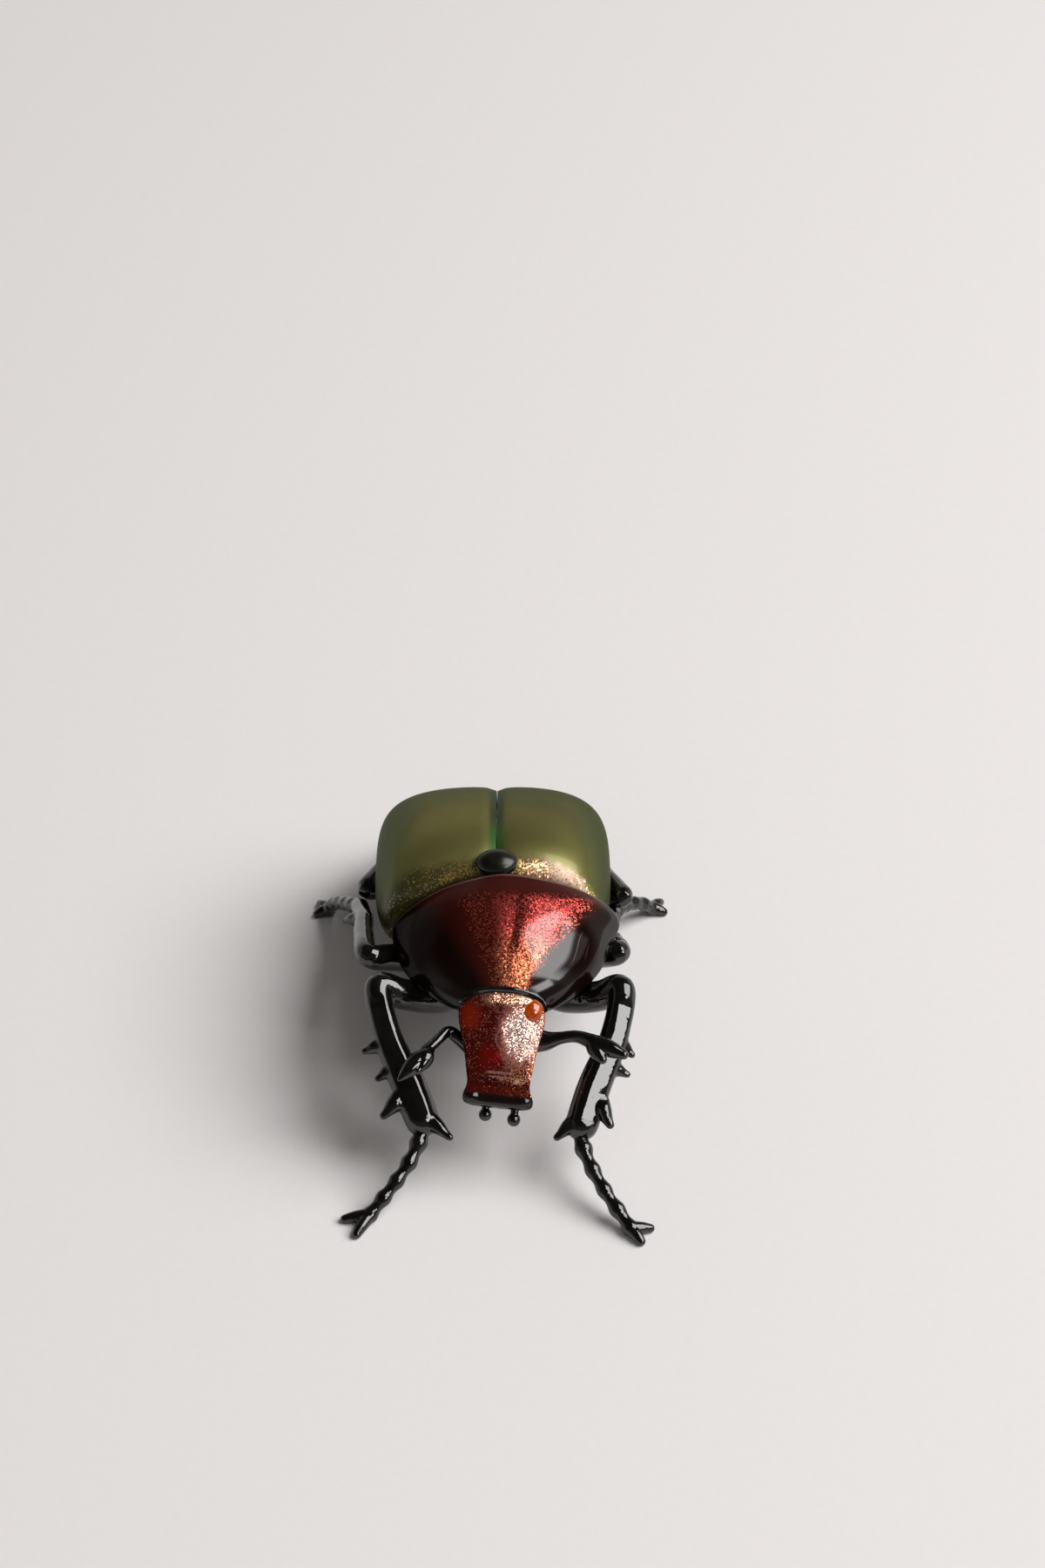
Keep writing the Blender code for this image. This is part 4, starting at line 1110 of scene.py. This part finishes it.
legs = {
    "frontLeft": {
        "node": "front_left", "pressed": (0.326, -0.687, 0.641),
        "femur": (
            ((4.4, 28.6, 11.2), 1.6), ((8.4, 25.8, 12.4), 1.8), ((12.0, 23.5, 15.0), 1.8),
            ((14.5, 22.6, 16.9), 1.6),
        ),
        "tibia": (
            ((14.6, 21.9, 16.6), 1.55), ((13.7, 18.4, 13.6), 1.65), ((11.35, 14.0, 9.8), 1.95),
            ((9.85, 10.6, 6.9), 1.95),
        ),
        "tarsus": ((9.75, 9.1, 5.9), (10.8, 6.5, 4.5), (12.6, 3.6, 2.9), (15.4, 0.0, 0.8)),
        "claws": ((18.1, 0.4, 0.36), (16.8, -2.0, 0.36)),
        "spines": (
            ((13.6, 18.4, 12.9), (15.8, 16.7, 12.0), 0.95),
            ((12.4, 16.0, 11.2), (15.3, 15.1, 10.4), 0.9),
            ((11.2, 13.2, 9.2), (13.2, 9.4, 7.8), 1.15),
            ((10.0, 11.4, 7.4), (6.8, 8.6, 6.6), 1.0),
        ),
    },
    "frontRight": {
        "node": "front_right", "pressed": (-0.10, -0.66, 0.74),
        "femur": (
            ((-3.0, 28.6, 11.2), 1.6), ((-7.0, 25.8, 12.4), 1.8), ((-11.0, 23.8, 15.0), 1.8),
            ((-13.8, 22.9, 16.9), 1.6),
        ),
        "tibia": (
            ((-14.0, 22.2, 16.6), 1.55), ((-12.7, 18.6, 13.6), 1.65), ((-10.3, 14.4, 9.8), 2.05),
            ((-8.6, 11.2, 7.0), 2.0),
        ),
        "tarsus": ((-8.7, 9.7, 6.0), (-10.0, 7.0, 4.5), (-11.9, 4.6, 3.0), (-14.6, 2.0, 0.8)),
        "claws": ((-18.0, 1.7, 0.36), (-16.3, -1.1, 0.36)),
        "spines": (
            ((-12.4, 17.9, 12.9), (-15.5, 17.1, 12.2), 0.95),
            ((-11.2, 16.0, 11.2), (-13.9, 14.3, 10.5), 0.9),
            ((-10.0, 13.8, 9.3), (-13.2, 10.5, 8.2), 1.15),
            ((-8.7, 11.7, 7.4), (-5.2, 8.4, 6.8), 1.0),
        ),
    },
    "middleLeft": {
        "node": "middle_left",
        "femur": (
            ((4.0, 38.5, 8.8), 1.5), ((8.5, 34.8, 10.6), 1.6), ((12.0, 31.6, 13.8), 1.6),
            ((14.3, 30.2, 15.6), 1.4),
        ),
        "tibia": (
            ((14.7, 31.4, 15.0), 1.35), ((14.0, 36.2, 11.4), 1.2), ((12.9, 41.2, 8.7), 1.15),
            ((14.0, 46.9, 6.0), 1.2),
        ),
        "tarsus": ((14.3, 48.0, 5.4), (15.6, 50.3, 4.2), (17.5, 52.3, 2.8), (19.2, 53.5, 0.8)),
        "claws": ((20.9, 53.1, 0.36), (20.4, 55.2, 0.36)),
        "spines": (((13.9, 45.8, 6.5), (12.1, 47.2, 5.2), 0.8),),
    },
    "middleRight": {
        "node": "middle_right",
        "femur": (
            ((-4.2, 38.5, 8.8), 1.5), ((-8.9, 34.6, 10.6), 1.6), ((-12.8, 31.2, 13.8), 1.6),
            ((-15.2, 29.8, 15.6), 1.4),
        ),
        "tibia": (
            ((-15.6, 31.0, 15.1), 1.35), ((-16.0, 36.0, 13.0), 1.25), ((-16.2, 41.0, 10.7), 1.2),
            ((-16.9, 45.9, 8.0), 1.2),
        ),
        "tarsus": ((-17.3, 46.9, 7.3), (-18.9, 49.7, 5.2), (-20.2, 52.0, 3.1), (-21.2, 53.2, 0.8)),
        "claws": ((-22.9, 52.7, 0.36), (-22.5, 54.9, 0.36)),
        "spines": (((-16.3, 41.4, 10.5), (-18.7, 42.4, 9.1), 0.8),),
    },
    "hindLeft": {
        "node": "hind_left",
        "femur": (
            ((4.0, 50.6, 6.8), 1.5), ((9.0, 50.6, 6.8), 1.45), ((12.8, 49.0, 7.5), 1.3),
            ((15.3, 46.8, 9.0), 1.25),
        ),
        "tibia": (
            ((15.1, 48.1, 8.8), 1.25), ((13.2, 52.3, 7.3), 1.2), ((11.9, 56.5, 6.0), 1.3),
            ((11.1, 60.0, 4.7), 1.3),
        ),
        "tarsus": ((10.8, 61.3, 4.2), (10.1, 63.6, 3.1), (9.7, 66.0, 2.0), (10.2, 68.2, 0.8)),
        "claws": ((11.6, 70.3, 0.36), (9.2, 70.4, 0.36)),
        "spines": (((11.3, 58.4, 5.2), (13.4, 59.8, 4.6), 0.8),),
    },
    "hindRight": {
        "node": "hind_right",
        "femur": (
            ((-4.4, 50.0, 6.8), 1.5), ((-9.3, 50.4, 6.6), 1.6), ((-13.4, 50.5, 7.3), 1.45),
            ((-16.0, 49.2, 8.2), 1.3),
        ),
        "tibia": (
            ((-15.8, 50.6, 8.1), 1.3), ((-13.9, 54.4, 7.0), 1.3), ((-12.6, 57.6, 5.7), 1.35),
            ((-11.9, 60.4, 4.7), 1.3),
        ),
        "tarsus": ((-11.6, 61.7, 4.2), (-10.8, 64.0, 3.1), (-10.4, 66.3, 2.0), (-10.9, 68.4, 0.8)),
        "claws": ((-12.3, 70.4, 0.36), (-10.0, 70.6, 0.36)),
        "spines": (((-12.2, 58.9, 5.2), (-14.3, 60.4, 4.6), 0.8),),
    },
}
legLook = {
    "beads": 5, "swell": {"front": 0.16, "middle": 0.08, "hind": 0.08},
    "press": 0.85, "flatten": 0.88, "pressReach": 1.38, "pressSmooth": 4,  # in radii, shares and passes
    "spineRoot": 1.45, "spineBend": (0.55, 0.92, 0.12), "spineEnd": ((0.82, 0.55), (0.95, 0.44)),
    "footRadii": (0.95, 0.85, 0.8, 0.85), "footVoxel": 0.10,
    "clawRoot": 0.85, "clawBend": (0.5, 0.68, 0.1), "clawEnd": ((0.84, 0.52),),
    "sole": 0.002, "sharp": 50,
}


def towards(a, b, share):
    return tuple(Vector(a).lerp(Vector(b), share))


# a thin rod that bends up a little on its way from root to tip; bend and ends give share, radius and lift
def hookChain(root, tip, first, bend, ends, size=1.0):
    share, radius, lift = bend
    chain = [
        (root, first * size, 0),
        (tuple(Vector(towards(root, tip, share)) + Vector((0, 0, lift))), radius * size, 0),
    ]
    return chain + [(towards(root, tip, share), radius * size, 0) for share, radius in ends]


# presses one side of a thick rod flat, as a paddle does to soft glass
def pressFlat(mesh, stops, facing, look):
    spans = [(toFrame(a), toFrame(b), ra * mm, rb * mm) for (a, ra), (b, rb) in zip(stops, stops[1:])]
    for vertex in mesh.vertices:
        nearest = None
        for number, (a, b, ra, rb) in enumerate(spans):
            share = min(1.0, max(0.0, (vertex.co - a).dot(b - a) / (b - a).length_squared))
            away = vertex.co - a.lerp(b, share)
            if nearest is None or away.length < nearest[0].length:
                nearest = away, ra + (rb - ra) * share, number + share
        away, radius, along = nearest
        inside = (look["pressReach"] - away.length / radius) / 0.3
        fade = min(1.0, along / 0.3, (len(spans) - along) / 0.12, inside)
        high = away.dot(facing) - radius * look["press"]
        if high > 0 and fade > 0:
            vertex.co -= facing * high * look["flatten"] * fade * fade * (3 - 2 * fade)
    work = bmesh.new()
    work.from_mesh(mesh)
    for _ in range(look["pressSmooth"]):
        bmesh.ops.smooth_vert(
            work, verts=work.verts, factor=0.5, use_axis_x=True, use_axis_y=True, use_axis_z=True
        )
    work.to_mesh(mesh)
    work.free()


def makeLeg(name, leg, look, material, seed):
    shin = list(leg["tibia"])
    limb = [(*stop, 0) for stop in leg["femur"]] + [(*stop, 0) for stop in shin[1:]]
    chains = [limb]
    for root, tip, radius in leg["spines"]:
        chains.append(hookChain(root, tip, look["spineRoot"], look["spineBend"], look["spineEnd"], radius))
    limbMesh = meltedMesh(f"{name} limb", chains, material, rodLook, 0.0, seed)
    if "pressed" in leg:
        pressFlat(limbMesh, shin, Vector(leg["pressed"]).normalized(), look)
    knee = Vector(leg["femur"][-1][0])
    ahead = (Vector(shin[1][0]) - knee).normalized()
    behind = (knee - Vector(leg["femur"][-2][0])).normalized()
    normal = (ahead + behind).normalized()
    for part, keepInner in (("Femur", True), ("Tibia", False)):
        mesh = cutMesh(limbMesh, f"{name}{part}", knee, normal, keepInner)
        finishMesh(mesh, material, look["sharp"])
        addPiece(f"{name}{part}", mesh, [f"{leg['node']}_{part.lower()}"])
    bpy.data.meshes.remove(limbMesh)
    foot = leg["tarsus"]
    ankle = Vector(shin[-1][0]).lerp(Vector(foot[0]), 0.2)
    stops = [(tuple(ankle), 0.95, 0)] + [
        (place, radius, 1) for place, radius in zip(foot, look["footRadii"])
    ]
    chains = [stops]
    for tip in leg["claws"]:
        chains.append(hookChain(foot[-1], tip, look["clawRoot"], look["clawBend"], look["clawEnd"]))
    swell = look["swell"][leg["node"].split("_")[0]]
    mesh = meltedMesh(
        f"{name}Foot", chains, material, rodLook, look["beads"], seed + 3, look["footVoxel"], swell
    )
    mesh = cutMesh(mesh, f"{name}Tarsus", (0, 0, look["sole"]), Vector((0, 0, 1)), False)
    finishMesh(mesh, material, look["sharp"])
    addPiece(f"{name}Tarsus", mesh, [f"{leg['node']}_tarsus"])


feelers = {
    "left": {
        "stem": (
            ((4.0, 17.3, 14.0), 1.65), ((5.7, 16.9, 14.2), 1.15), ((7.3, 16.75, 14.8), 0.74),
            ((9.2, 16.5, 15.3), 0.70), ((11.0, 15.4, 15.6), 0.9),
        ),
        "lobes": (
            ((10.7, 15.6, 15.6), (14.6, 13.5, 15.4), 1.1, 0.7),
            ((10.8, 15.4, 15.5), (12.2, 13.0, 15.1), 0.95, 0.65),
        ),
    },
    "right": {
        "stem": (
            ((-3.0, 16.3, 13.6), 0.9), ((-4.5, 16.9, 14.8), 0.75), ((-5.6, 17.2, 15.4), 0.65),
            ((-6.8, 15.7, 15.4), 0.62), ((-8.0, 14.1, 15.4), 0.7),
        ),
        "lobes": (
            ((-7.5, 14.4, 15.4), (-11.1, 10.5, 14.4), 1.1, 0.32),
            ((-7.7, 14.2, 15.3), (-9.0, 11.6, 14.8), 1.1, 0.7),
        ),
    },
}
palps = {
    "left": (((2.3, 11.5, 9.6), 0.5), ((2.1, 10.7, 8.9), 0.45), ((2.0, 10.1, 8.2), 0.45)),
    "right": (((-1.2, 12.2, 9.6), 0.5), ((-1.25, 11.4, 8.9), 0.45), ((-1.3, 10.8, 8.3), 0.45)),
}


def makeFeeler(side, feeler, material, seed):
    chains = [[(*stop, 0) for stop in feeler["stem"]]]
    for root, tip, width, end in feeler["lobes"]:
        chains.append(
            [
                (root, end, 0), (towards(root, tip, 0.35), width, 0),
                (towards(root, tip, 0.7), width * 0.85, 0), (tip, end * 0.8, 0),
            ]
        )
    mesh = meltedMesh(f"{side}Feeler", chains, material, rodLook, 0.0, seed, 0.08)
    finishMesh(mesh, material, 0)
    addPiece(f"{side}Feeler", mesh, [f"{side}_antenna"])


def makePalp(side, stops, material, seed):
    end = stops[-1][0]
    chains = [[(*stop, 0) for stop in stops], [(end, 0.76, 0), (towards(stops[-2][0], end, 1.02), 0.76, 0)]]
    mesh = meltedMesh(f"{side}Palp", chains, material, rodLook, 0.0, seed, 0.07)
    finishMesh(mesh, material, 0)
    addPiece(f"{side}Palp", mesh, [f"{side}_palp"])


black = blackGlass("black glass", blackLook)
dull = blackGlass("dull black glass", dullLook)
red = shieldGlass("copper shield glass", shieldLook)
face = headGlass("copper head glass", headLook, headShape["skew"])
green = caseGlass("olive lustre glass", caseLook)
amber = eyeGlass("amber glass", eyeLook)
print("materials made")

makeShield(shieldShape, red)
for side, sign in (("left", 1), ("right", -1)):
    makeCase(caseShape, side, sign, green)
makeHead(headShape, face)
makeNeck(headShape, black)
makeBelly(bellyShape, black)
makeChest(chestShape, black)
makeBall("scutellum", dropShape["place"], dropShape["radii"], dull, "scutellum")
for side in ("left", "right"):
    makeBall(
        f"{side}Eye", onHead(*eyeShape[side]), eyeShape["radii"], amber, f"{side}_eye",
        headTurn,
    )
print("body made")

for number, (name, leg) in enumerate(legs.items()):
    makeLeg(name, leg, legLook, black, 1.7 * number)
    print("leg made:", name)
for number, side in enumerate(("left", "right")):
    makeFeeler(side, feelers[side], black, 20.0 + number)
    makePalp(side, palps[side], black, 30.0 + number)
print("feelers and palps made")

studio = {
    "paper": (0.80, 0.778, 0.775), "paperShade": 0.985, "floorSize": 3.0,
    # the strength of the room, of its walls, and of a pale board low behind the figure
    "dark": 0.035, "walls": 0.34, "board": 0.52,
    "roomColour": (1.0, 0.93, 0.87), "lampColour": (1.0, 0.988, 0.98), "aim": (0, 0, 0.01),
    # for each lamp: degrees round from the beetle's left, degrees up, metres away, metres wide, watts
    "window": {
        "turn": 1, "lift": 48, "far": 1.4, "size": (1.12, 1.06), "power": 25.8, "diffuse": True,
        "glossy": True,
    },
    "pane": {
        "turn": -42, "lift": 34, "far": 1.4, "size": (0.48, 0.42), "power": 5.2, "diffuse": False,
        "glossy": True,
    },
    "fill": {
        "turn": -95, "lift": 52, "far": 1.4, "size": (1.5, 1.5), "power": 2.6, "diffuse": True,
        "glossy": False,
    },
}


def makeFloor(look):
    mesh = bpy.data.meshes.new("paper")
    size = look["floorSize"]
    mesh.from_pydata(
        [(-size, -size, 0), (size, -size, 0), (size, size, 0), (-size, size, 0)], [], [(0, 1, 2, 3)]
    )
    material, wires, shader = newMaterial("pale paper")
    place = placeInMm(wires)
    grain = wires.noise(place, 0.9, 4.0, 0.65)
    shade = [look["paperShade"] * part for part in look["paper"]]
    colour = wires.blend(wires.step(grain, 0.3, 0.7), look["paper"], shade)
    wires.feed(shader.inputs["Base Color"], colour)
    shader.inputs["Roughness"].default_value = 0.85
    shader.inputs["Specular IOR Level"].default_value = 0.2
    wires.feed(shader.inputs["Normal"], bump(wires, grain, 0.12, 0.15))
    mesh.materials.append(material)
    floor = bpy.data.objects.new("paper", mesh)
    scene.collection.objects.link(floor)


# a dim room with a pale board behind the figure, which the rear edges reflect
def makeWorld(look):
    world = bpy.data.worlds.new("studio")
    world.use_nodes = True
    wires = Wires(world.node_tree)
    x, y, z = wires.axes(wires.put("ShaderNodeTexCoord").outputs["Generated"])
    low = wires.step(wires.line(z, -0.9, y), 0.45, 0.72)
    near = wires.step(wires.line(wires.size(x), -0.9, y), -0.25, 0.25)
    walls = wires.times(wires.step(z, 0.62, 0.30), wires.step(y, -0.55, -0.15, 0.35, 1.0))
    strength = wires.line(walls, look["walls"] - look["dark"], look["dark"])
    strength = wires.line(wires.times(low, near), look["board"] - look["walls"], strength)
    back = world.node_tree.nodes["Background"]
    wires.feed(back.inputs["Color"], look["roomColour"])
    wires.feed(back.inputs["Strength"], strength)
    scene.world = world


def makeLight(name, look, room):
    turn, lift = math.radians(look["turn"]), math.radians(look["lift"])
    away = Vector((math.cos(lift) * math.cos(turn), math.cos(lift) * math.sin(turn), math.sin(lift)))
    data = bpy.data.lights.new(name, "AREA")
    data.shape = "RECTANGLE"
    data.size, data.size_y = look["size"]
    data.energy = look["power"]
    data.color = room["lampColour"]
    lamp = bpy.data.objects.new(name, data)
    lamp.visible_diffuse = look["diffuse"]
    lamp.visible_glossy = look["glossy"]
    lamp.location = away * look["far"] + Vector(room["aim"])
    lamp.rotation_euler = away.to_track_quat("Z", "Y").to_euler()
    scene.collection.objects.link(lamp)


cameraView = {"place": (3.0, -302.9, 336.8), "down": 41.5, "lens": 90, "sensor": 36, "near": 0.01}


def makeCamera(view):
    data = bpy.data.cameras.new("camera")
    data.lens = view["lens"]
    data.sensor_width = view["sensor"]
    data.clip_start = view["near"]
    camera = bpy.data.objects.new("camera", data)
    camera.location = toFrame(view["place"])
    camera.rotation_euler = (math.radians(90 - view["down"]), 0, 0)
    scene.collection.objects.link(camera)
    scene.camera = camera


makeFloor(studio)
makeWorld(studio)
for name in ("window", "pane", "fill"):
    makeLight(name, studio[name], studio)
makeCamera(cameraView)
scene.view_settings.view_transform = "Standard"
print("studio made")
